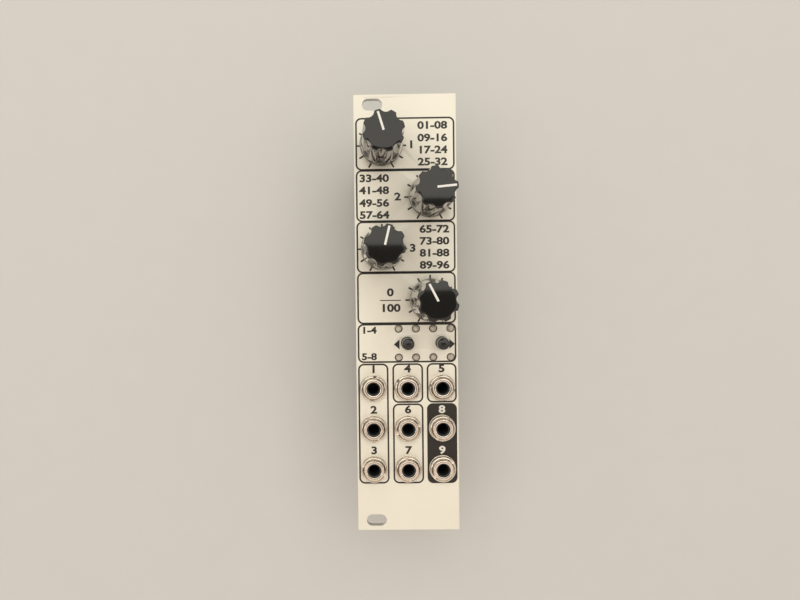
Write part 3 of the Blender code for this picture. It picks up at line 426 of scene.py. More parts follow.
def linked(name: str, data: bpy.types.ID) -> bpy.types.Object:
    """Makes an object and links it to the scene.

    Args:
        name: The object's name.
        data: What it shows.

    Returns:
        The object.
    """
    item = bpy.data.objects.new(name, data)
    bpy.context.scene.collection.objects.link(item)
    return item


def joined(whole: Part, part: Part) -> None:
    """Moves a part's mesh into another part.

    Args:
        whole: The part that grows.
        part: The part that goes into it, and is freed.
    """
    scratch = bpy.data.meshes.new("scratch")
    part.to_mesh(scratch)
    part.free()
    whole.from_mesh(scratch)
    bpy.data.meshes.remove(scratch)


def mesh_part(data: bpy.types.ID) -> Part:
    """Turns a curve or a text into a mesh and removes it.

    Args:
        data: The curve or the text.

    Returns:
        What it looks like, as a part.
    """
    item = linked("scratch", data)
    mesh = bpy.data.meshes.new_from_object(item.evaluated_get(bpy.context.evaluated_depsgraph_get()))
    part = bmesh.new()
    part.from_mesh(mesh)
    bpy.data.objects.remove(item, do_unlink=True)
    bpy.data.meshes.remove(mesh)
    bpy.data.curves.remove(data)
    bmesh.ops.remove_doubles(part, verts=part.verts[:], dist=MERGE)
    return part


def plate(outline: Sequence[Point], holes: Sequence[Sequence[Point]], low_z: float, high_z: float,
          edge: float = 0.0) -> Part:
    """Makes a flat plate with holes.

    Args:
        outline: The plate's outline.
        holes: The outline of each hole.
        low_z: Height of its back.
        high_z: Height of its front.
        edge: Width of its round edges, or 0 for sharp ones.

    Returns:
        The plate.
    """
    curve = bpy.data.curves.new("plate", "CURVE")
    curve.dimensions, curve.fill_mode = "2D", "BOTH"
    curve.extrude = (high_z - low_z) / 2 - edge
    curve.bevel_depth, curve.bevel_resolution, curve.offset = edge, 1, -edge
    for loop in (outline, *holes):
        spline = curve.splines.new("POLY")
        spline.points.add(len(loop) - 1)
        for point, (x, y) in zip(spline.points, loop):
            point.co = (x, y, 0.0, 1.0)
        spline.use_cyclic_u = True
    part = mesh_part(curve)
    bmesh.ops.translate(part, verts=part.verts[:], vec=(0.0, 0.0, (low_z + high_z) / 2))
    return part


def lettering(text: str, x: float, y: float, cap: float, align: str, low_z: float, high_z: float) -> Part:
    """Makes a line of wide plain figures.

    Args:
        text: The figures.
        x: Where the line is aligned, in millimetres.
        y: Height of its middle on the panel, in millimetres.
        cap: The figures' height in millimetres.
        align: LEFT or CENTER.
        low_z: Height of the figures' foot.
        high_z: Height of their face.

    Returns:
        The line.
    """
    cap_share, widen, swell_share = 0.70, 1.25, 0.05
    curve = bpy.data.curves.new("lettering", "FONT")
    curve.body, curve.size, curve.align_x, curve.align_y = text, cap * MM / cap_share, align, "CENTER"
    curve.extrude, curve.offset, curve.resolution_u = (high_z - low_z) / 2, swell_share * (cap * MM), 3
    part = mesh_part(curve)
    stretch = Matrix.Diagonal((widen, 1.0, 1.0, 1.0))
    place = Matrix.Translation((x * MM, y * MM, (low_z + high_z) / 2)) @ stretch
    bmesh.ops.transform(part, matrix=place, verts=part.verts[:])
    return part


def carved(part: Part, cutter: Part) -> Part:
    """Cuts a part.

    Args:
        part: The part, which is freed.
        cutter: What is taken out of it, which is freed too.

    Returns:
        What is left of the part.
    """
    items = []
    for shape in (part, cutter):
        mesh = bpy.data.meshes.new("carving")
        shape.to_mesh(mesh)
        shape.free()
        items.append(linked("carving", mesh))
    cut = items[0].modifiers.new("cut", "BOOLEAN")
    cut.object, cut.operation, cut.solver = items[1], "DIFFERENCE", "EXACT"
    evaluated = items[0].evaluated_get(bpy.context.evaluated_depsgraph_get())
    result = bmesh.new()
    result.from_mesh(evaluated.to_mesh())
    evaluated.to_mesh_clear()
    for item in items:
        mesh = item.data
        bpy.data.objects.remove(item, do_unlink=True)
        bpy.data.meshes.remove(mesh)
    return result


def thread(radius: float, low_z: float, high_z: float, pitch: float = 0.5 * MM) -> list[Point]:
    """Draws the outer profile of a thread, from its top down.

    Args:
        radius: The thread's outer radius.
        low_z: Height of its foot.
        high_z: Height of its top.
        pitch: Distance from crest to crest.

    Returns:
        Radius and height of each point.
    """
    root = radius - 0.28 * pitch
    profile = []
    for turn in range(max(1, int((high_z - low_z) / pitch))):
        z = high_z - turn * pitch
        profile += [(radius, z), (radius, z - 0.15 * pitch), (root, z - 0.5 * pitch),
                    (radius, z - 0.85 * pitch)]
    return profile + [(radius, low_z)]


def middle(node: str) -> Vector:
    """Returns the middle of a frame node's box."""
    low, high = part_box(node)
    return (low + high) / 2


def to_axis(axis: Vector, level: float = 0.0) -> Matrix:
    """Returns the move of the Z axis onto an upright axis, and of its zero to a level."""
    return Matrix.Translation((axis.x, axis.y, level))


def spun(degrees: float, axis: str = "Z") -> Matrix:
    """Returns a turn about an axis through the origin."""
    return Matrix.Rotation(math.radians(degrees), 4, axis)


@dataclass
class Piece:
    """One visible object, put together from parts.

    Attributes:
        name: The object's name.
        body: The frame body that it rides on.
        slot: The record's material slot. Not used.
        stands_for: The frame nodes that it replaces.
        parts: The parts so far, each with the finish of its level faces and of its upright ones.
    """

    name: str
    body: str
    slot: Slot
    stands_for: tuple[str, ...] = ()
    parts: list[tuple[Part, Finish, Finish]] = field(default_factory=list)

    def add(self, part: Part, finish: Finish, place: Matrix | None = None,
            walls: Finish | None = None) -> None:
        """Adds a part.

        Args:
            part: The part's mesh, which the piece now owns.
            finish: The part's finish.
            place: Where the part goes, or None if it is in place.
            walls: The finish of its upright faces, or None if they don't differ.
        """
        if place is not None:
            bmesh.ops.transform(part, matrix=place, verts=part.verts[:])
        self.parts.append((part, finish, walls or finish))

    def build(self, palette: Palette) -> bpy.types.Object:
        """Joins the parts into an object that rides on its body.

        Args:
            palette: Gives the materials.

        Returns:
            The new object.
        """
        whole = bmesh.new()
        mesh = bpy.data.meshes.new(self.name)
        finishes: list[Finish] = []
        for part, *pair in self.parts:
            for finish in pair:
                if finish not in finishes:
                    finishes.append(finish)
                    mesh.materials.append(palette.get(finish))
            part.normal_update()
            for face in part.faces:
                face.material_index = finishes.index(pair[abs(face.normal.z) < 0.5])
            joined(whole, part)
        shaded(whole)
        whole.to_mesh(mesh)
        whole.free()
        item = linked(self.name, mesh)
        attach(item, self.body)
        if self.stands_for:
            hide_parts(*self.stands_for)
        return item


@dataclass
class SubAssembly:
    """A group of visible pieces that belong together.

    Attributes:
        palette: Gives the materials.
        joints: The frame's joints by name.
        root: The body of all that doesn't move.
    """

    palette: Palette
    joints: dict[str, dict]
    root: str = "module"

    def pieces(self) -> Iterable[Piece]:
        """Puts the pieces together.

        Returns:
            The pieces, ready to be built.
        """
        raise NotImplementedError

    def build(self) -> list[bpy.types.Object]:
        """Returns the objects of all pieces."""
        return [piece.build(self.palette) for piece in self.pieces()]

    def knob_axis(self, number: int) -> Vector:
        """Returns a point on the axis of a knob."""
        return Vector(self.joints[f"knob_{number}_turn"]["pos_m"])

    def pointer_turn(self, number: int) -> Matrix:
        """Returns the turn of a knob's pointer from straight up to its place."""
        low, high = self.joints[f"knob_{number}_turn"]["range_deg"]
        return spun((low + high) / 2)


@dataclass
class FrontPanel(SubAssembly):
    """The metal panel and all that is printed on it."""

    edge: float = 0.15 * MM
    corner: float = 0.25 * MM
    knob_hole: float = 3.7 * MM
    socket_hole: float = 3.2 * MM
    lamp_hole: float = 1.15 * MM
    button_hole: float = 1.83 * MM
    rail_slot: Point = (2.9 * MM, 1.65 * MM)
    rail_place: Point = (5.5 * MM, 3.0 * MM)
    ink: float = 0.03 * MM
    line: float = 0.48 * MM
    frame_corner: float = 1.5 * MM
    # Left, top, right and bottom of each frame
    frames: tuple[tuple[float, float, float, float], ...] = (
        (-14.27, 57.19, 14.27, 42.26), (-14.27, 41.96, 14.27, 27.19), (-14.27, 26.89, 14.27, 12.18),
        (-14.27, 11.88, 14.27, -2.84), (-14.27, -3.24, 14.27, -14.3), (-14.27, -15.0, -5.8, -50.13),
        (-4.15, -15.0, 4.4, -26.2), (5.95, -15.0, 14.27, -26.2), (-4.15, -26.9, 4.4, -50.13))
    field_low: Point = (5.7 * MM, -50.37 * MM)
    field_high: Point = (14.51 * MM, -26.65 * MM)
    field_corner: float = 1.7 * MM
    field_hole: float = 3.3 * MM
    tick_half: float = 0.24 * MM
    tick_reach: Point = (5.9 * MM, 7.35 * MM)
    tick_step: float = 30.0
    # Place of each arrow and the way it points
    arrows: tuple[tuple[float, float, int], ...] = ((-3.0, -9.15, -1), (13.25, -9.15, 1))
    arrow_tip: float = 0.85 * MM
    arrow_back: float = 0.8 * MM
    arrow_half: float = 1.45 * MM
    bar_low: Point = (-7.75 * MM, 3.72 * MM)
    bar_high: Point = (-1.7 * MM, 3.98 * MM)
    # Left edge of each list of number pairs, and the height of each line
    list_columns: tuple[tuple[float, tuple[float, ...]], ...] = (
        (3.7, (54.95, 51.3, 47.8, 44.3)), (-13.5, (39.65, 36.1, 32.4, 28.9)),
        (4.0, (24.6, 21.1, 17.6, 14.05)))
    list_step: int = 8
    list_cap: float = 2.1
    # Text, place and height of the other figures, which stand about that place
    dark_words: Words = (
        ("1", 1.85, 49.4, 2.15), ("2", -2.3, 34.2, 2.15), ("3", 2.0, 19.1, 2.15), ("0", -4.75, 6.1, 2.2),
        ("100", -4.75, 1.5, 2.2), ("1", -9.95, -16.55, 2.15), ("4", 0.1, -16.45, 2.15),
        ("5", 10.1, -16.45, 2.15), ("2", -10.0, -28.55, 2.15), ("6", 0.1, -28.55, 2.15),
        ("3", -10.0, -40.6, 2.15), ("7", 0.1, -40.6, 2.15))
    lamp_words: Words = (
        ("1-4", -13.4, -5.0, 1.9), ("5-8", -13.4, -12.8, 1.9))
    light_words: Words = (
        ("8", 10.1, -28.55, 2.15), ("9", 10.1, -40.6, 2.15))

    def pieces(self) -> Iterable[Piece]:
        """Puts the panel, its dark print and its light print together.

        Returns:
            The three pieces.
        """
        low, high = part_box("front_panel")
        holes = [circle(*self.knob_axis(n).xy, self.knob_hole, sides=48) for n in range(1, 5)]
        holes += [circle(*middle(f"jack_nut_{n}").xy, self.socket_hole, sides=48) for n in range(1, 10)]
        holes += [circle(*middle(f"lamp_{n}").xy, self.lamp_hole, sides=32) for n in range(1, 9)]
        holes += [circle(*middle(f"button_{side}").xy, self.button_hole, sides=48) for side in SIDES]
        for end in (-1, 1):
            x, y = low.x + self.rail_place[0], end * (high.y - self.rail_place[1])
            holes.append(around(x, y, self.rail_slot, self.rail_slot[1], steps=12))
        outline = rounded(low.xy, high.xy, self.corner, steps=3)
        panel = Piece("panel_plate", self.root, Slot.PANEL, ("front_panel",))
        panel.add(plate(outline, holes, low.z, high.z, self.edge), PANEL_FACE, walls=PANEL_EDGE)
        yield panel
        yield self.dark_print(high.z)
        light = Piece("panel_print_light", self.root, Slot.PANEL)
        for word in self.light_words:
            light.add(lettering(*word, "CENTER", high.z + self.ink, high.z + self.ink + self.ink), LIGHT_INK)
        yield light

    def frame(self, sides: Sequence[float], face: float) -> Part:
        """Makes one printed frame with round corners.

        Args:
            sides: Its left, top, right and bottom, in millimetres from the panel's middle.
            face: Height of the panel's front.

        Returns:
            The frame.
        """
        half = self.line / 2
        left, top, right, bottom = (side * MM for side in sides)
        outer = rounded((left - half, bottom - half), (right + half, top + half), self.frame_corner + half)
        inner = rounded((left + half, bottom + half), (right - half, top - half), self.frame_corner - half)
        return plate(outer, [inner], face, face + self.ink)

    def dark_print(self, face: float) -> Piece:
        """Puts the black print together: frames, dial ticks, numbers, arrows and the filled field.

        Args:
            face: Height of the panel's front.

        Returns:
            The piece.
        """
        top = face + self.ink
        parts = [self.frame(sides, face) for sides in self.frames]
        bare = [circle(*middle(f"jack_nut_{n}").xy, self.field_hole, sides=48) for n in (6, 9)]
        parts.append(plate(rounded(self.field_low, self.field_high, self.field_corner), bare, face, top))
        for number in range(1, 5):
            for step in range(-5, 6):
                near, far = self.tick_reach
                tick = block((-self.tick_half, near, 0.0), (self.tick_half, far, self.ink))
                place = to_axis(self.knob_axis(number), face) @ spun(-self.tick_step * step)
                bmesh.ops.transform(tick, matrix=place, verts=tick.verts[:])
                parts.append(tick)
        for x, y, side in self.arrows:
            tip, back = x * MM + side * self.arrow_tip, x * MM - side * self.arrow_back
            arrow = [(tip, y * MM), (back, y * MM + self.arrow_half), (back, y * MM - self.arrow_half)]
            parts.append(prism(arrow, face, top))
        parts.append(block((*self.bar_low, face), (*self.bar_high, top)))
        lines = [(x, y) for x, column in self.list_columns for y in column]
        for index, (x, y) in enumerate(lines):
            first = 1 + index * self.list_step
            text = f"{first:02d}-{first + self.list_step - 1:02d}"
            parts.append(lettering(text, x, y, self.list_cap, "LEFT", face, top))
        parts += [lettering(*word, "LEFT", face, top) for word in self.lamp_words]
        parts += [lettering(*word, "CENTER", face, top) for word in self.dark_words]
        piece = Piece("panel_print_dark", self.root, Slot.PANEL)
        for part in parts:
            piece.add(part, PANEL_INK)
        return piece


@dataclass
class FlutedKnobs(SubAssembly):
    """The four fluted knobs with their white pointers, and the nuts under them."""

    rim: float = 6.3 * MM
    rim_z: float = 0.7 * MM
    waist: float = 6.05 * MM
    waist_z: float = 2.0 * MM
    top: float = 5.7 * MM
    flute: float = 1.65 * MM
    flute_depth: float = 0.85 * MM
    flute_end: float = 1.7 * MM
    flute_foot: float = 4.2 * MM
    soft: float = 0.18 * MM
    pointer: float = 0.6 * MM
    pointer_reach: float = 5.2 * MM
    pointer_depth: float = 0.15 * MM
    pointer_drop: float = 0.01 * MM
    pointer_gap: float = 0.005 * MM
    crown_radius: float = 67.0 * MM
    hollow: float = 5.45 * MM
    hollow_z: float = 1.1 * MM
    # Height and inset of the skin's lowest rows, then drop and inset of its highest
    foot_rows: Points = ((0.0, 0.12), (0.12, 0.0), (0.7, 0.0))
    edge_rows: Points = ((0.22, 0.0), (0.13, 0.025), (0.06, 0.08), (0.0, 0.22))
    # Rows of the flat top, and the two faint turned rings on it
    flat_rows: tuple[float, ...] = (4.55 * MM, 3.6 * MM, 2.7 * MM)
    rings: tuple[float, ...] = (1.90 * MM, 1.25 * MM)
    innermost: float = 0.5 * MM
    ring_width: float = 0.10 * MM
    ring_depth: float = 0.005 * MM
    columns: int = 192
    nut_hole: float = 3.6 * MM
    nut_edge: float = 0.12 * MM
    washer: float = 0.3 * MM

    def crown(self, radius: float, height: float) -> float:
        """Returns the height of the slightly crowned top at a distance from the axis."""
        return height - radius * radius / (2 * self.crown_radius)

    def strip(self, height: float, rise: float, gap: float) -> Part:
        """Makes a bar along the pointer's place that follows the crown.

        Args:
            height: The knob's height.
            rise: How far the bar stands out of the crown.
            gap: How much narrower and shorter it is than the groove on each side.

        Returns:
            The bar, pointing to +Y.
        """
        stops = [gap + (self.pointer_reach - 2 * gap) * step / 8 for step in range(9)]
        outline = [(y, self.crown(y, height) - self.pointer_depth) for y in stops]
        outline += [(y, self.crown(y, height) + rise) for y in reversed(stops)]
        bar = prism(outline, gap - self.pointer / 2, self.pointer / 2 - gap)
        upright = Matrix(((0.0, 0.0, 1.0), (1.0, 0.0, 0.0), (0.0, 1.0, 0.0))).to_4x4()
        bmesh.ops.transform(bar, matrix=upright, verts=bar.verts[:])
        return bar

    def wall(self, z: float, height: float) -> float:
        """Finds the unfluted radius.

        Args:
            z: Height above the knob's foot.
            height: The knob's height.

        Returns:
            The radius there.
        """
        if z < self.rim_z:
            return self.rim
        if z < self.waist_z:
            share = (z - self.rim_z) / (self.waist_z - self.rim_z)
            return self.rim + (self.waist - self.rim) * share * share * (3 - 2 * share)
        return self.waist + (self.top - self.waist) * (z - self.waist_z) / (height - self.waist_z)

    def radius(self, angle: float, z: float, height: float) -> float:
        """Finds the fluted radius. The edges of the flutes are soft.

        Args:
            angle: Direction from the axis.
            z: Height above the knob's foot.
            height: The knob's height.

        Returns:
            The radius there.
        """
        wall = self.wall(z, height)
        step = math.pi / 4
        offset = (angle - math.pi / 2) % step - step / 2
        share = min(max((z - self.flute_end) / (self.flute_foot - self.flute_end), 0.0), 1.0)
        share *= share * (3 - 2 * share)
        centre = wall + self.flute - self.flute_depth * share
        across = centre * math.sin(offset)
        if share == 0.0 or abs(across) >= self.flute:
            return wall
        hollow = centre * math.cos(offset) - math.sqrt(self.flute ** 2 - across ** 2)
        soft = self.soft * share
        blend = max(soft - abs(wall - hollow), 0.0) / soft
        return min(wall, hollow) - blend * blend * soft / 4

    def shell(self, height: float) -> Part:
        """Builds the knob's skin from its foot to the middle of its top.

        Args:
            height: The knob's height.

        Returns:
            A closed part that stands on z = 0, its pointer lobe at +Y.
        """
        rows = raised(0.0, *self.foot_rows)
        fine_end, rim_drop = 3.6 * MM, 0.5 * MM
        rows += [(z * 0.1 * MM, 0.0) for z in range(9, 36, 2)]
        rows += [(fine_end + (height - fine_end - rim_drop) * step / 18, 0.0) for step in range(1, 19)]
        rows += [(height - drop * MM, inset * MM) for drop, inset in self.edge_rows]
        offsets = [side * self.ring_width for side in (1.6, 1.0, 0.0, -1.0, -1.6)]
        radii = [*self.flat_rows, *(ring + offset for ring in self.rings for offset in offsets)]
        radii += [self.innermost, 0.0]
        profile = [(0.0, self.hollow_z), (self.hollow, self.hollow_z), (self.hollow, 0.0)]
        profile += [(self.wall(z, height) - inset, z) for z, inset in rows]
        part = turned(profile + [(radius, height) for radius in radii], self.columns)
        near, top_zone = 0.001 * MM, 0.3 * MM
        for vert in part.verts:
            radius, z = vert.co.xy.length, vert.co.z
            if radius > self.hollow + near:
                inward = self.wall(z, height) - self.radius(math.atan2(vert.co.y, vert.co.x), z, height)
                vert.co.xy *= (radius - inward) / radius
            if z > height - top_zone:
                vert.co.z += self.crown(vert.co.xy.length, height) - height
                if any(abs(radius - ring) < near for ring in self.rings):
                    vert.co.z -= self.ring_depth
        return part

    def pieces(self) -> Iterable[Piece]:
        """Puts the knobs, their pointers and the nuts under them together.

        Returns:
            Three pieces for each knob.
        """
        low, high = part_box("knob_1")
        height = high.z - low.z
        pattern = carved(self.shell(height), self.strip(height, MM, 0.0))
        for number in range(1, 5):
            body, axis = f"knob_{number}_group", self.knob_axis(number)
            place = to_axis(axis, low.z) @ self.pointer_turn(number)
            knob = Piece(f"fluted_knob_{number}", body, Slot.KNOB, (f"knob_{number}",))
            knob.add(pattern.copy(), KNOB_BLACK, place, KNOB_SIDE)
            yield knob
            pointer = Piece(f"knob_pointer_{number}", body, Slot.KNOB)
            pointer.add(self.strip(height, -self.pointer_drop, self.pointer_gap), POINTER_WHITE, place)
            yield pointer
            yield self.nut(number, axis)
        pattern.free()

    def nut(self, number: int, axis: Vector) -> Piece:
        """Puts the hexagon nut of one potentiometer and its washer together.

        Args:
            number: The potentiometer's number.
            axis: A point on its axis.

        Returns:
            The piece.
        """
        low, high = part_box(f"pot_nut_{number}")
        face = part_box("front_panel")[1].z
        seat, corner = face + self.washer, (high.x - low.x) / 2
        hole = circle(axis.x, axis.y, self.nut_hole)
        nut = Piece(f"hex_nut_{number}", self.root, Slot.NICKEL, (f"pot_nut_{number}",))
        nut.add(plate(circle(axis.x, axis.y, corner, sides=6), [hole], seat, high.z, self.nut_edge), NICKEL)
        nut.add(plate(circle(axis.x, axis.y, corner), [hole], face, seat), NICKEL)
        return nut


@dataclass
class Sockets(SubAssembly):
    """The nine sockets and their slotted nuts. Profiles hold radius and height pairs in millimetres."""

    # How each nut stands, in degrees clockwise
    turns: tuple[float, ...] = (98.0, 38.0, 12.0, 65.0, 160.0, 118.0, 25.0, 82.0, 140.0)
    washer: Points = ((3.06, 0.28), (3.90, 0.26), (3.90, 0.0), (3.06, 0.0))
    nut_crown: Points = (
        (3.06, -0.42), (3.34, -0.04), (3.40, 0.0), (3.54, -0.05), (3.74, -0.24), (3.78, -0.42))
    nut_foot: Points = ((3.78, 0.44), (3.70, 0.30), (3.06, 0.30))
    # Half length, half width and depth of the cut across the nut
    slot_cut: Triple = (5.0 * MM, 0.45 * MM, 0.6 * MM)
    case_low: Point = (-4.5 * MM, -5.85 * MM)
    case_high: Point = (4.5 * MM, 4.35 * MM)
    case_corner: float = 0.3 * MM
    case_edge: float = 0.12 * MM
    case_floor: float = 1.1 * MM
    case_gap: float = 0.3 * MM
    bore: float = 1.85 * MM
    bushing: float = 3.0 * MM
    mouth: Points = (
        (1.96, -0.30), (2.07, -0.05), (2.16, 0.0), (2.66, 0.0), (2.78, -0.05), (2.98, -0.30))
    thread_drop: float = 0.45 * MM
    sleeve_bore: float = 1.96 * MM
    liner: Points = ((1.66, -0.55), (1.95, -0.36))
    # Back and front of the two contact strips along Y
    contacts: Points = ((-6.0 * MM, -5.82 * MM), (4.32 * MM, 4.5 * MM))
    contact_half: float = 1.1 * MM
    contact_rise: float = 6.2 * MM
    contact_edge: float = 0.06 * MM
    spring_low: Triple = (-0.5 * MM, 1.05 * MM, 2.4 * MM)
    spring_high: Triple = (0.5 * MM, 1.30 * MM, 7.4 * MM)
    spring_edge: float = 0.1 * MM
    spring_lean: float = -3.0

    def pieces(self) -> Iterable[Piece]:
        """Puts each socket and its nut together.

        Returns:
            Two pieces for each socket.
        """
        pattern = self.nut_part(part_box("front_panel")[1].z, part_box("jack_nut_1")[1].z)
        for number, turn in enumerate(self.turns, start=1):
            place = to_axis(middle(f"jack_nut_{number}"))
            nut = Piece(f"slotted_nut_{number}", self.root, Slot.NICKEL, (f"jack_nut_{number}",))
            nut.add(pattern.copy(), NICKEL, place @ spun(-turn))
            yield nut
            yield self.socket(number, place)
        pattern.free()

    def nut_part(self, face: float, top: float) -> Part:
        """Builds a round nut with a washer under it and two slots across its top.

        Args:
            face: Height of the panel's front.
            top: Height of the nut's top.

        Returns:
            The part, centred on the Z axis.
        """
        nut = turned(raised(top, *self.nut_crown) + raised(face, *self.nut_foot), sides=64, ring=True)
        long, wide, deep = self.slot_cut
        nut = carved(nut, block((-long, -wide, top - deep), (long, wide, top + MM)))
        joined(nut, turned(raised(face, *self.washer), sides=64, ring=True))
        return nut

    def socket(self, number: int, place: Matrix) -> Piece:
        """Puts one socket together: housing, bushing, liner and contacts.

        Args:
            number: The socket's number.
            place: Moves the Z axis onto the bore's axis.

        Returns:
            The piece.
        """
        top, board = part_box(f"jack_{number}")[1].z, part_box("front_board")[1].z
        floor, roof = board + self.case_floor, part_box("front_panel")[0].z - self.case_gap
        outline = rounded(self.case_low, self.case_high, self.case_corner, steps=2)
        bushing = raised(top, *self.mouth) + thread(self.bushing, roof, top - self.thread_drop)
        liner = raised(top, *self.liner)
        liner += [(radius, roof - MM) for radius, _ in reversed(liner)]
        piece = Piece(f"socket_{number}", self.root, Slot.SOCKET, (f"jack_{number}",))
        case = plate(outline, [circle(0.0, 0.0, self.bore, sides=32)], floor, roof, self.case_edge)
        piece.add(case, MOULDED, place)
        piece.add(prism(outline, board, floor), MOULDED, place)
        piece.add(turned(bushing + [(self.sleeve_bore, roof)], sides=56, ring=True), NICKEL, place)
        piece.add(turned(liner, sides=40, ring=True), MOULDED, place)
        for near, far in self.contacts:
            low, high = (-self.contact_half, near, board), (self.contact_half, far, board + self.contact_rise)
            piece.add(block(low, high, self.contact_edge), TIN, place)
        lift = Vector((0.0, 0.0, board))
        low, high = Vector(self.spring_low) + lift, Vector(self.spring_high) + lift
        spring = block(low, high, self.spring_edge)
        piece.add(spring, TIN, place @ spun(self.spring_lean, "X"))
        return piece


@dataclass
class LampsAndButtons(SubAssembly):
    """The eight lamps, and the two buttons on their switches. Profiles hold pairs in millimetres."""

    lens: float = 0.95 * MM
    lens_tall: float = 3.8 * MM
    flange: Points = ((0.95, 0.55), (1.16, 0.5), (1.2, 0.44), (1.2, 0.0), (0.0, 0.0))
    cup: Points = ((0.0, 1.5), (0.22, 1.5), (0.42, 1.9), (0.48, 1.9), (0.34, 0.6), (0.0, 0.6))
    legs: Point = (-0.635 * MM, 0.635 * MM)
    leg_half: float = 0.22 * MM
    leg_into: float = 0.4 * MM
    leg_edge: float = 0.05 * MM
    button: float = 1.72 * MM
    button_crown: float = 4.2 * MM
    button_flat: float = 1.44 * MM
    button_edge: Points = ((1.57, -0.32), (1.66, -0.42), (1.71, -0.55), (1.72, -0.70))
    button_foot: float = 0.1 * MM
    switch_half: float = 3.0 * MM
    switch_corner: float = 0.35 * MM
    switch_edge: float = 0.1 * MM
    switch_hole: float = 1.92 * MM
    # Heights of the base, the body and the cover above the board
    switch_levels: Triple = (1.25 * MM, 3.1 * MM, 3.5 * MM)
    cover_inset: float = 0.15 * MM
    cover_corner: float = 0.3 * MM
    cover_edge: float = 0.08 * MM
    rivet: Points = ((0.0, 3.78), (0.25, 3.72), (0.36, 3.5), (0.0, 3.5))
    rivet_place: float = 2.2 * MM

    def pieces(self) -> Iterable[Piece]:
        """Puts lamps, buttons and switches together.

        Returns:
            The pieces.
        """
        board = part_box("front_board")[1].z
        for number in range(1, 9):
            yield self.lamp(number, board)
        for side in SIDES:
            place = to_axis(middle(f"button_{side}"))
            yield self.button_piece(side, place)
            yield self.switch(side, place, board)

    def lamp(self, number: int, board: float) -> Piece:
        """Puts one lamp together: lens, the frame inside it and its legs.

        Args:
            number: The lamp's number.
            board: Height of the front board's face.

        Returns:
            The piece.
        """
        place, top = to_axis(middle(f"lamp_{number}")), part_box(f"lamp_{number}")[1].z
        foot = top - self.lens_tall
        turns = [math.pi / 2 * step / 10 for step in range(11)]
        dome = [(self.lens * math.sin(turn), top - self.lens + self.lens * math.cos(turn)) for turn in turns]
        piece = Piece(f"indicator_{number}", self.root, Slot.LAMP, (f"lamp_{number}",))
        piece.add(turned(dome + raised(foot, *self.flange), sides=36), LENS, place)
        piece.add(turned(raised(foot, *self.cup), sides=24), TIN, place)
        for x in self.legs:
            leg = pin(x, 0.0, self.leg_half, board, foot + self.leg_into, self.leg_edge)
            piece.add(leg, TIN, place)
        return piece

    def button_piece(self, side: str, place: Matrix) -> Piece:
        """Puts one button together, with a rounded and slightly domed top.

        Args:
            side: left or right.
            place: Moves the Z axis onto the button's axis.

        Returns:
            The piece.
        """
        low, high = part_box(f"button_{side}")
        stops = [self.button_flat * step / 8 for step in range(9)]
        profile = [(stop, high.z - stop ** 2 / (2 * self.button_crown)) for stop in stops]
        profile += raised(high.z, *self.button_edge)
        foot = self.button_foot
        profile += [(self.button, low.z + foot), (self.button - foot, low.z), (0.0, low.z)]
        piece = Piece(f"push_button_{side}", f"button_{side}_group", Slot.BUTTON, (f"button_{side}",))
        piece.add(turned(profile), BUTTON_BLACK, place)
        return piece

    def switch(self, side: str, place: Matrix, board: float) -> Piece:
        """Puts one switch together: base, pressed cover and its four rivets.

        Args:
            side: left or right.
            place: Moves the Z axis onto the switch's axis.
            board: Height of the front board's face.

        Returns:
            The piece.
        """
        half, hole = self.switch_half, circle(0.0, 0.0, self.switch_hole)
        base, body, top = (board + level for level in self.switch_levels)
        outline = around(0.0, 0.0, (half, half), self.switch_corner, steps=2)
        inner = half - self.cover_inset
        rim = around(0.0, 0.0, (inner, inner), self.cover_corner, steps=2)
        cover = plate(rim, [hole], body, top, self.cover_edge)
        piece = Piece(f"tact_switch_{side}", self.root, Slot.SOCKET, (f"switch_{side}",))
        piece.add(prism(outline, board, base), MOULDED, place)
        piece.add(plate(outline, [hole], base, body, self.switch_edge), MOULDED, place)
        piece.add(cover, PRESSED_STEEL, place)
        for x in (-self.rivet_place, self.rivet_place):
            for y in (-self.rivet_place, self.rivet_place):
                rivet = turned(raised(board, *self.rivet), sides=16)
                piece.add(rivet, MOULDED, place @ Matrix.Translation((x, y, 0.0)))
        return piece


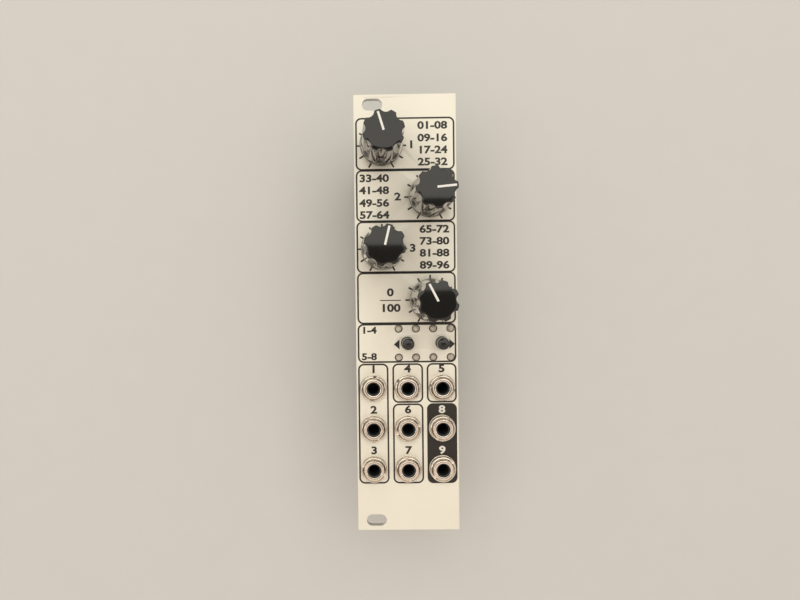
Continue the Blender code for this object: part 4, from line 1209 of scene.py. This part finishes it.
@dataclass
class Potentiometers(SubAssembly):
    """The four potentiometers behind the panel."""

    case_top: float = 7.1 * MM
    case_corner: float = 0.5 * MM
    base_gap: float = 0.2 * MM
    base_inset: float = 0.25 * MM
    base_edge: float = 0.25 * MM
    lid: float = 1.3 * MM
    lid_edge: float = 0.25 * MM
    ear: float = 0.35 * MM
    ear_half: float = 1.0 * MM
    ear_drop: float = 0.8 * MM
    ear_edge: float = 0.08 * MM
    bushing: float = 3.5 * MM
    bushing_bore: float = 3.15 * MM
    mouth: float = 3.3 * MM
    thread_drop: float = 0.2 * MM
    thread_foot: float = 0.1 * MM

    def pieces(self) -> Iterable[Piece]:
        """Puts each potentiometer together: resin base, pressed cover with two ears, and threaded bushing.

        Returns:
            One piece for each.
        """
        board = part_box("front_board")[1].z
        cover = board + self.case_top
        for number in range(1, 5):
            low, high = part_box(f"pot_body_{number}")
            axis = self.knob_axis(number)
            left, right = low.x - axis.x, high.x - axis.x
            bottom, top = low.y - axis.y, high.y - axis.y
            base_low = (left + self.base_inset, bottom, board + self.base_gap)
            base = block(base_low, (right - self.base_inset, top, cover - self.lid), self.base_edge)
            outline = rounded((left, bottom), (right, top), self.case_corner, steps=3)
            lid = prism(outline, cover - self.lid, cover, self.lid_edge)
            bushing = [(self.bushing_bore, high.z), (self.mouth, high.z)]
            bushing += thread(self.bushing, cover - self.thread_foot, high.z - self.thread_drop)
            bushing.append((self.bushing_bore, cover - self.thread_foot))
            place = to_axis(axis)
            piece = Piece(f"potentiometer_{number}", self.root, Slot.POT, (f"pot_body_{number}",))
            piece.add(base, POT_RESIN, place)
            piece.add(lid, PRESSED_STEEL, place)
            for side in (left, right - self.ear):
                ear_low = (side, -self.ear_half, board)
                ear_high = (side + self.ear, self.ear_half, cover - self.ear_drop)
                piece.add(block(ear_low, ear_high, self.ear_edge), PRESSED_STEEL, place)
            piece.add(turned(bushing, ring=True), NICKEL, place)
            yield piece


def holes_of(node: bpy.types.Object) -> list[tuple[Vector, Vector]]:
    """Finds the holes of a board from the upright walls in its mesh.

    Args:
        node: A frame node that is a flat board.

    Returns:
        Middle and size of each hole.
    """
    largest = 10 * MM
    verts = node.data.vertices
    groups: dict[Point, set[Point]] = {}
    for face in node.data.polygons:
        if abs(face.normal.z) < 0.5:
            spots = {(round(verts[index].co.x, 6), round(verts[index].co.y, 6)) for index in face.vertices}
            merged = spots.union(*(groups.get(spot, set()) for spot in spots))
            for spot in merged:
                groups[spot] = merged
    holes = []
    for group in {id(group): group for group in groups.values()}.values():
        xs, ys = [x for x, _ in group], [y for _, y in group]
        size = Vector((max(xs) - min(xs), max(ys) - min(ys)))
        if size.length < largest:
            holes.append((Vector(((max(xs) + min(xs)) / 2, (max(ys) + min(ys)) / 2)), size))
    return sorted(holes, key=lambda hole: (round(hole[0].y, 5), hole[0].x))


def on_face(place: Vector, level: float, front: bool) -> Matrix:
    """Returns the place of a part that stands out of a board's front or back face, at its level."""
    return to_axis(place, level) @ (Matrix.Identity(4) if front else UPSIDE_DOWN)


@dataclass
class Boards(SubAssembly):
    """The two circuit boards with their tracks, solder joints and small surface parts."""

    skin: float = 0.06 * MM
    corner: float = 0.5 * MM
    cone: Points = (
        (0.0, 1.15), (0.22, 1.12), (0.30, 1.0), (0.33, 0.72), (0.42, 0.42), (0.60, 0.16), (0.85, 0.03),
        (0.85, 0.0), (0.0, 0.0))
    link_reach: float = 0.3 * MM
    rise: float = 0.03 * MM
    track: float = 0.26 * MM
    side_step: float = 0.8 * MM
    shortest: float = 2.2 * MM
    longer: float = 0.9 * MM
    margin: float = 1.0 * MM
    via: Points = ((0.0, 0.0), (0.16, 0.0), (0.18, 0.035), (0.34, 0.035), (0.36, 0.0))
    # Columns, rows and turn of each field of small parts
    back_parts: Fields = (
        ((-11.5, -9.0, -6.5, 6.5, 9.0, 11.5), (34.6, 32.4), 90.0),
        ((3.4, 11.9), (28.0, 25.6, 23.2, 20.8, 18.4, 16.0), 0.0),
        ((-11.9,), (26.0, 23.0, 20.0, 17.0, 14.0), 0.0),
        ((-11.0, -8.6, -6.2, -1.4, 1.0, 3.4, 5.8, 8.2, 10.6), (-12.6,), 90.0),
        ((-8.0, -4.0, 4.0, 8.0), (-20.0,), 90.0), ((0.4, 11.9), (0.6, -2.0, -4.6, -7.2), 0.0))
    front_parts: Fields = (
        ((-6.6, -3.3, 3.3, 6.6), (-20.4,), 90.0), ((-12.6, -2.2, 2.2, 12.6), (10.5, 8.0, -1.0), 0.0),
        ((-12.0, -2.0, 0.0), (25.0,), 90.0))
    # Small parts, in millimetres: half length, half width and height of a tall one and of a low one
    tall_size: Triple = (1.0, 0.62, 0.75)
    low_size: Triple = (0.8, 0.4, 0.42)
    body_inset: float = 0.3
    end_cap: float = 0.32
    cap_over: float = 0.01
    # How far a pad reaches under its part, past its end and to each side
    pad_reach: Triple = (0.25, 0.35, 0.12)
    pad_rise: float = 0.05

    def pieces(self) -> Iterable[Piece]:
        """Puts both boards together.

        Returns:
            Three pieces for each board: the board, its solder joints and its small parts.
        """
        links = [middle(f"link_pins_{end}").y for end in ("top", "bottom")]
        for name, links_front, fields in (("front_board", True, self.front_parts),
                                          ("rear_board", False, self.back_parts)):
            low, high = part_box(name)
            board = Piece(f"{name}_laminate", self.root, Slot.BOARD, (name,))
            outline = rounded(low.xy, high.xy, self.corner, steps=4)
            board.add(prism(outline, low.z + self.skin, high.z - self.skin), LAMINATE)
            board.add(prism(outline, low.z, low.z + self.skin), MASK)
            board.add(prism(outline, high.z - self.skin, high.z), MASK)
            joints = Piece(f"{name}_joints", self.root, Slot.NICKEL)
            holes = holes_of(bpy.data.objects[name])
            for centre, size in holes:
                of_link = min(abs(centre.y - y) for y in links) < self.link_reach
                stretch = Matrix.Diagonal((max(size.x / MM, 1.0), max(size.y / MM, 1.0), 1.0, 1.0))
                front = of_link == links_front
                place = on_face(centre, high.z if front else low.z, front) @ stretch
                joints.add(turned(raised(0.0, *self.cone), sides=16), SOLDER, place)
            self.tracks(board, holes, low, high)
            yield board
            yield joints
            yield self.surface_parts(name, low.z, fields)

    def tracks(self, board: Piece, holes: Sequence[tuple[Vector, Vector]], low: Vector,
               high: Vector) -> None:
        """Adds raised tracks that lead from the pin holes to vias along the board.

        Args:
            board: The board's piece.
            holes: Middle and size of each hole.
            low: The board's lowest corner.
            high: Its highest corner.
        """
        for index, (centre, _) in enumerate(holes):
            across = self.side_step if index % 2 else -self.side_step
            along = self.side_step if index % 3 else -self.side_step
            bend = Vector((centre.x + across, centre.y + along))
            end = Vector((bend.x, bend.y + math.copysign(self.shortest + self.longer * (index % 4), along)))
            if not (low.x + self.margin < end.x < high.x - self.margin
                    and low.y + self.margin < end.y < high.y - self.margin):
                continue
            for front in (False, True):
                level = high.z if front else low.z
                for start, stop in ((centre.xy, bend), (bend, end)):
                    board.add(self.ribbon(start, stop, level, self.rise if front else -self.rise), TRACK)
                via = turned(raised(0.0, *self.via), sides=14)
                board.add(via, GOLD, on_face(end, level, front))

    def ribbon(self, start: Vector, stop: Vector, level: float, rise: float) -> Part:
        """Makes a straight flat track.

        Args:
            start: The track's first point.
            stop: Its last point.
            level: Height of the board's face.
            rise: How far the track stands out of it, up or down.

        Returns:
            The track.
        """
        along = (stop - start).normalized() * self.track / 2
        side = Vector((-along.y, along.x))
        corners = (start - along + side, start - along - side, stop + along - side, stop + along + side)
        return prism([tuple(corner) for corner in corners], *sorted((level, level + rise)))

    def surface_parts(self, name: str, back: float, fields: Fields) -> Piece:
        """Puts the small surface parts on a board's back together.

        Args:
            name: The board's node.
            back: Height of the board's back.
            fields: Columns, rows and turn of each field of parts.

        Returns:
            The piece.
        """
        piece = Piece(f"{name}_surface_parts", self.root, Slot.CHIP)
        places = [(x, y, turn) for columns, rows, turn in fields
                  for x, y in self.in_order(columns, rows, turn)]
        for index, (x, y, turn) in enumerate(places):
            tall = index % 3 == 0
            half, wide, rise = self.tall_size if tall else self.low_size
            place = Matrix.Translation((x * MM, y * MM, back)) @ spun(turn) @ UPSIDE_DOWN
            inside, past, beside = self.pad_reach
            core = half - self.body_inset
            body = (-core, core, wide, rise, 0.04, CERAMIC_TAN if tall else CERAMIC_BLACK)
            cap = (half - self.end_cap, half, wide + self.cap_over, rise + self.cap_over, 0.06, TIN)
            pad = (half - inside, half + past, wide + beside, self.pad_rise, 0.0, SOLDER)
            others = [(-end, -start, *rest) for start, end, *rest in (cap, pad)]
            for start, end, across, up, edge, finish in (body, *others, cap, pad):
                low, high = Vector((start, -across, 0.0)) * MM, Vector((end, across, up)) * MM
                piece.add(block(low, high, edge * MM), finish, place)
        return piece

    @staticmethod
    def in_order(columns: Sequence[float], rows: Sequence[float], turn: float) -> list[Point]:
        """Returns the places of a field of parts, along its rows where the parts stand across them."""
        if turn:
            return [(x, y) for y in rows for x in columns]
        return [(x, y) for x in columns for y in rows]


@dataclass
class Links(SubAssembly):
    """The plugs between the boards, and the power header."""

    cells: int = 6
    strip: float = 2.8 * MM
    cell_half: float = 1.25 * MM
    cell_cut: float = 0.45 * MM
    cell_lap: float = 0.02 * MM
    pin_half: float = 0.32 * MM
    pin_foot: float = 4.5 * MM
    pin_edge: float = 0.06 * MM
    socket_half: Point = (7.6 * MM, 1.25 * MM)
    socket_corner: float = 0.1 * MM
    well_half: float = 0.45 * MM
    well_corner: float = 0.05 * MM
    socket_edge: float = 0.05 * MM
    floor: float = 1.0 * MM
    wall: float = 1.1 * MM
    key: float = 2.25 * MM
    mouth_edge: float = 0.12 * MM
    header_corner: float = 0.05 * MM
    gap_z: float = 6.0 * MM
    ring_z: float = 6.9 * MM
    floor_z: float = 6.8 * MM
    header_pins: int = 5
    header_pin: Point = (1.8 * MM, 7.0 * MM)
    header_pin_edge: float = 0.12 * MM

    def pieces(self) -> Iterable[Piece]:
        """Puts the pin strips, their sockets and the power header together.

        Returns:
            The pieces.
        """
        front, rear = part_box("front_board")[0].z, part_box("rear_board")[1].z
        places = [(cell - (self.cells - 1) / 2) * PIN_PITCH for cell in range(self.cells)]
        for end in ("top", "bottom"):
            y = middle(f"link_pins_{end}").y
            strip = Piece(f"pin_strip_{end}", self.root, Slot.LINK, (f"link_pins_{end}",))
            for x in places:
                strip.add(prism(self.cell(x, y), front - self.strip, front), MOULDED)
                strip.add(pin(x, y, self.pin_half, rear + self.pin_foot, front, self.pin_edge), GOLD)
            yield strip
            body = around(0.0, y, self.socket_half, self.socket_corner, steps=1)
            well = (self.well_half, self.well_half)
            wells = [around(x, y, well, self.well_corner, steps=1) for x in places]
            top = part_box(f"link_socket_{end}")[1].z
            socket = Piece(f"pin_socket_{end}", self.root, Slot.LINK, (f"link_socket_{end}",))
            socket.add(plate(body, wells, rear + self.floor, top, self.socket_edge), MOULDED)
            socket.add(prism(body, rear, rear + self.floor), MOULDED)
            yield socket
        yield self.power_header()

    def cell(self, x: float, y: float) -> list[Point]:
        """Returns the eight-sided outline of one cell of a pin strip."""
        half, cut, side = self.cell_half, self.cell_half - self.cell_cut, self.cell_half + self.cell_lap
        return [(x + a, y + b) for a, b in (
            (-cut, -half), (cut, -half), (side, -cut), (side, cut), (cut, half), (-cut, half), (-side, cut),
            (-side, -cut))]

    def power_header(self) -> Piece:
        """Puts the shrouded power header behind the rear board together.

        Returns:
            The piece.
        """
        low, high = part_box("power_header")
        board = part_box("rear_board")[0].z
        long, wide, key = high.x, (high.y - low.y) / 2, self.key
        inner_long, inner_wide = long - self.wall, wide - self.wall
        shroud = [(-long, -wide), (-key, -wide), (-key, -inner_wide), (-inner_long, -inner_wide),
                  (-inner_long, inner_wide), (inner_long, inner_wide), (inner_long, -inner_wide),
                  (key, -inner_wide), (key, -wide), (long, -wide), (long, wide), (-long, wide)]
        wall = prism(shroud, 0.0, self.gap_z)
        mouth = [e for e in wall.edges if all(v.co.z < self.gap_z / 2 for v in e.verts)]
        bevelled(wall, mouth, self.mouth_edge)
        outer = around(0.0, 0.0, (long, wide), self.header_corner, steps=1)
        inner = around(0.0, 0.0, (inner_long, inner_wide), self.header_corner, steps=1)
        place = Matrix.Translation((0.0, (low.y + high.y) / 2, 0.0))
        piece = Piece("box_header", self.root, Slot.LINK, ("power_header", "power_pins"))
        piece.add(wall, MOULDED, place)
        piece.add(plate(outer, [inner], self.gap_z, self.ring_z), MOULDED, place)
        piece.add(prism(outer, self.floor_z, board), MOULDED, place)
        for step in range(self.header_pins):
            x = (step - (self.header_pins - 1) / 2) * PIN_PITCH
            for y in (-PIN_PITCH / 2, PIN_PITCH / 2):
                post = pin(x, y, self.pin_half, *self.header_pin, self.header_pin_edge)
                piece.add(post, GOLD, place)
        return piece


@dataclass
class RearParts(SubAssembly):
    """The chips, capacitors and crystal on the back of the rear board."""

    # Frame node, leads on each side and width of each chip
    chips: tuple[tuple[str, int, float], ...] = (
        ("processor", 10, 7.5), ("converter", 5, 3.9), ("regulator", 4, 3.9))
    case_gap: float = 0.15 * MM
    case_edge: float = 0.14 * MM
    dot: float = 0.42 * MM
    dot_depth: float = 0.1 * MM
    lead_half: float = 0.21 * MM
    lead: float = 0.2 * MM
    # Distance from the case of a lead's start, inner bend, outer bend, foot, heel and end
    lead_steps: tuple[float, ...] = (-0.1, 0.28, 0.4, 0.7, 0.85, 1.4)
    can: float = 3.97 * MM
    can_top: Points = ((3.2, -0.10), (3.45, 0.0), (3.75, -0.04), (3.92, -0.2), (3.97, -0.45))
    can_groove: Points = (
        (3.97, 2.0), (3.85, 1.75), (3.6, 1.5), (3.85, 1.25), (3.97, 1.0), (3.97, 0.3), (3.8, 0.1), (0.0, 0.1))
    lid: Points = ((0.0, -0.22), (3.1, -0.22), (3.3, -0.1), (3.2, -0.5), (0.0, -0.5))
    # Half length, half width and depth of the scores across the top
    score_cut: Triple = (2.4 * MM, 0.12 * MM, 0.30 * MM)
    # First and last direction of the stripe and the step between its points, in degrees
    band: tuple[int, int, int] = (250, 290, 5)
    band_reach: Point = (0.015 * MM, 0.3 * MM)
    band_ends: Point = (2.1 * MM, 0.5 * MM)
    crystal_x: Point = (-11.5 * MM, -0.5 * MM)
    crystal_half: float = 2.25 * MM
    crystal_rise: float = 3.5 * MM
    crystal_inset: float = 0.45 * MM
    crystal_edge: float = 0.35 * MM
    crystal_foot: float = 0.3 * MM
    crystal_flange: float = 0.6 * MM
    flange_edge: float = 0.1 * MM

    def pieces(self) -> Iterable[Piece]:
        """Puts the rear parts together.

        Returns:
            One piece for each.
        """
        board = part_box("rear_board")[0].z
        for name, leads, width in self.chips:
            yield self.chip(name, leads, width * MM, board)
        for side in SIDES:
            yield self.capacitor(side, board)
        left, right = self.crystal_x
        x, y = (left + right) / 2, middle("converter").y - MM
        half = Vector(((right - left) / 2, self.crystal_half))
        can = half - Vector((self.crystal_inset, self.crystal_inset))
        crystal = Piece("crystal_can", self.root, Slot.NICKEL)
        for size, low_z, high_z, edge in (
                (can, board - self.crystal_rise, board - self.crystal_foot, self.crystal_edge),
                (half, board - self.crystal_flange, board, self.flange_edge)):
            crystal.add(plate(around(x, y, size, size.y, steps=12), [], low_z, high_z, edge), ALUMINIUM)
        yield crystal

    def chip(self, name: str, leads: int, width: float, board: float) -> Piece:
        """Puts one chip together: case with a dot at its first pin, and bent leads.

        Args:
            name: The frame node.
            leads: Leads on each side.
            width: The case's width.
            board: Height of the rear board's back.

        Returns:
            The piece.
        """
        low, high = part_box(name)
        place = to_axis(middle(name), board) @ UPSIDE_DOWN
        side, half_long, rise = width / 2, (high.y - low.y) / 2, board - low.z
        dot = turned([(0.0, -self.dot_depth), (self.dot, -self.dot_depth), (self.dot, MM), (0.0, MM)],
                     sides=24)
        bmesh.ops.translate(dot, verts=dot.verts[:], vec=(MM - side, half_long - MM, rise))
        case = block((-side, -half_long, self.case_gap), (side, half_long, rise), self.case_edge)
        piece = Piece(f"{name}_chip", self.root, Slot.CHIP, (name,))
        piece.add(carved(case, dot), CHIP_BLACK, place)
        start, inner, bend, foot, heel, end = (side + step * MM for step in self.lead_steps)
        top, under = 0.5 * rise, 0.5 * rise - self.lead
        outline = [(start, under), (start, top), (bend, top), (heel, self.lead), (end, self.lead), (end, 0.0),
                   (foot, 0.0), (inner, under)]
        for step in range(leads):
            row = place @ Matrix.Translation((0.0, (step - (leads - 1) / 2) * LEAD_PITCH, 0.0))
            for turn in (0.0, 180.0):
                lead = prism(outline, -self.lead_half, self.lead_half)
                piece.add(lead, TIN, row @ spun(turn) @ spun(90.0, "X"))
        return piece

    def capacitor(self, side: str, board: float) -> Piece:
        """Puts one capacitor together: sleeve with a stripe, rolled groove and scored top.

        Args:
            side: left or right.
            board: Height of the rear board's back.

        Returns:
            The piece.
        """
        name = f"capacitor_{side}"
        place, rise = to_axis(middle(name), board) @ UPSIDE_DOWN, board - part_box(name)[0].z
        lid = turned(raised(rise, *self.lid), sides=56)
        long, wide, deep = self.score_cut
        for turn in (0.0, 60.0, 120.0):
            score = block((-long, -wide, rise - deep), (long, wide, rise))
            bmesh.ops.transform(score, matrix=spun(turn), verts=score.verts[:])
            lid = carved(lid, score)
        first, last, step = self.band
        arc = [math.radians(angle) for angle in range(first, last + 1, step)]
        outer, inner = self.can + self.band_reach[0], self.can - self.band_reach[1]
        band = [(outer * math.cos(angle), outer * math.sin(angle)) for angle in arc]
        band += [(inner * math.cos(angle), inner * math.sin(angle)) for angle in reversed(arc)]
        piece = Piece(f"capacitor_can_{side}", self.root, Slot.SLEEVE, (name,))
        sleeve = raised(rise, *self.can_top) + raised(0.0, *self.can_groove)
        piece.add(turned(sleeve, sides=56), SLEEVE, place)
        piece.add(lid, ALUMINIUM, place)
        piece.add(prism(band, self.band_ends[0], rise - self.band_ends[1]), STRIPE, place)
        return piece


@dataclass
class Studio:
    """Floor, lights and camera.

    Attributes:
        palette: Gives the floor's material.
        lens: Focal length for a sensor 36 mm wide.
        spot: Where the photograph's camera stood.
        turn: How it was turned, in degrees about X, Y and Z.
        shift: How far the photograph's frame lies beside the optical axis.
        ceiling: How high the soft boxes hang.
        boxes: Name, lowest and highest corner, brightness and colour of each soft box.
        sky: Colour of the surround.
        sky_span: Its heights, as the Z of a direction, between which it dims.
        sky_strength: Its brightness near the horizon and overhead.
        floor_half: Half width of the floor.
    """

    palette: Palette
    lens: float = 27.045
    spot: Triple = (-0.01451, 0.00817, 0.21027)
    turn: Triple = (-1.066, 0.681, -0.706)
    shift: Point = (0.0626, -0.0033)
    ceiling: float = 1.05
    boxes: tuple[tuple[str, Point, Point, float, Colour], ...] = (
        ("key", (-0.9, 0.087), (0.9, 1.30), 1.72, (1.0, 0.975, 0.88)),
        ("front", (-0.9, -1.50), (0.9, -0.24), 0.85, (1.0, 0.80, 0.66)),
        ("left", (-1.4, -0.24), (-0.30, 0.087), 1.6, (1.0, 0.95, 0.86)),
        ("right", (0.45, -0.24), (1.4, 0.087), 1.4, (1.0, 0.91, 0.80)))
    sky: Colour = (1.0, 0.955, 0.88)
    sky_span: Point = (0.25, 0.85)
    sky_strength: Point = (0.85, 0.12)
    floor_half: float = 1.6

    def build(self) -> None:
        """Makes the camera, the floor and the lights."""
        self.camera()
        self.floor()
        for box in self.boxes:
            self.light(*box)
        self.surround()
        bpy.context.scene.view_settings.view_transform = "Standard"

    def surround(self) -> None:
        """Makes the plain surround, bright near the horizon and dim overhead."""
        world = bpy.data.worlds.new("studio")
        bpy.context.scene.world = world
        world.use_nodes = True
        tree = world.node_tree
        background = tree.nodes["Background"]
        background.inputs["Color"].default_value = (*self.sky, 1.0)
        place, split = tree.nodes.new("ShaderNodeTexCoord"), tree.nodes.new("ShaderNodeSeparateXYZ")
        fade = tree.nodes.new("ShaderNodeMapRange")
        fade.interpolation_type = "SMOOTHSTEP"
        fade.inputs["From Min"].default_value, fade.inputs["From Max"].default_value = self.sky_span
        fade.inputs["To Min"].default_value, fade.inputs["To Max"].default_value = self.sky_strength
        tree.links.new(place.outputs["Generated"], split.inputs["Vector"])
        tree.links.new(split.outputs["Z"], fade.inputs["Value"])
        tree.links.new(fade.outputs["Result"], background.inputs["Strength"])

    def camera(self) -> None:
        """Makes the camera at the photograph's place."""
        data = bpy.data.cameras.new("camera")
        data.sensor_width, data.lens = 36.0, self.lens
        data.shift_x, data.shift_y = self.shift
        data.clip_start, data.clip_end = 0.01, 10.0
        camera = linked("camera", data)
        camera.location = self.spot
        camera.rotation_euler = Euler([math.radians(angle) for angle in self.turn], "XYZ")
        bpy.context.scene.camera = camera

    def floor(self) -> None:
        """Makes the plain pale floor under the module."""
        mesh = bpy.data.meshes.new("floor")
        part = bmesh.new()
        bmesh.ops.create_grid(part, x_segments=1, y_segments=1, size=self.floor_half)
        part.to_mesh(mesh)
        part.free()
        mesh.materials.append(self.palette.get(FLOOR))
        linked("floor", mesh)

    def light(self, name: str, low: Point, high: Point, radiance: float, colour: Colour) -> None:
        """Makes a soft box that hangs over the module, facing down.

        Args:
            name: The light's name.
            low: The box's lowest X and Y.
            high: Its highest X and Y.
            radiance: How bright the box looks.
            colour: Its colour.
        """
        wide, long = high[0] - low[0], high[1] - low[1]
        data = bpy.data.lights.new(name, "AREA")
        data.shape, data.size, data.size_y, data.color = "RECTANGLE", wide, long, colour
        data.energy = radiance * math.pi * wide * long
        light = linked(name, data)
        light.location = (low[0] + wide / 2, low[1] + long / 2, self.ceiling)
        light.visible_camera = False


def dress_shafts(palette: Palette, nodes: dict[str, bpy.types.Object]) -> None:
    """Gives the frame's own shafts their turned brass.

    Args:
        palette: Gives the material.
        nodes: The frame's nodes by name.
    """
    for number in range(1, 5):
        shaft = nodes[f"pot_shaft_{number}"]
        shaft.data.materials.clear()
        shaft.data.materials.append(palette.get(TURNED_BRASS))
        LOG.info("Shafts: %s", shaft.name)


def main() -> None:
    """Builds the whole scene."""
    logging.basicConfig(level=logging.INFO)
    for item in list(bpy.data.objects):
        bpy.data.objects.remove(item, do_unlink=True)
    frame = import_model()
    palette = Palette()
    Studio(palette).build()
    joints = {joint["name"]: joint for joint in frame["joints"]}
    kinds: tuple[Callable[..., SubAssembly], ...] = (
        FrontPanel, FlutedKnobs, Sockets, LampsAndButtons, Potentiometers, Boards, Links, RearParts)
    for kind in kinds:
        for item in kind(palette, joints).build():
            LOG.info("%s: %s", kind.__name__, item.name)
    dress_shafts(palette, frame["nodes"])


if __name__ == "__main__":
    main()
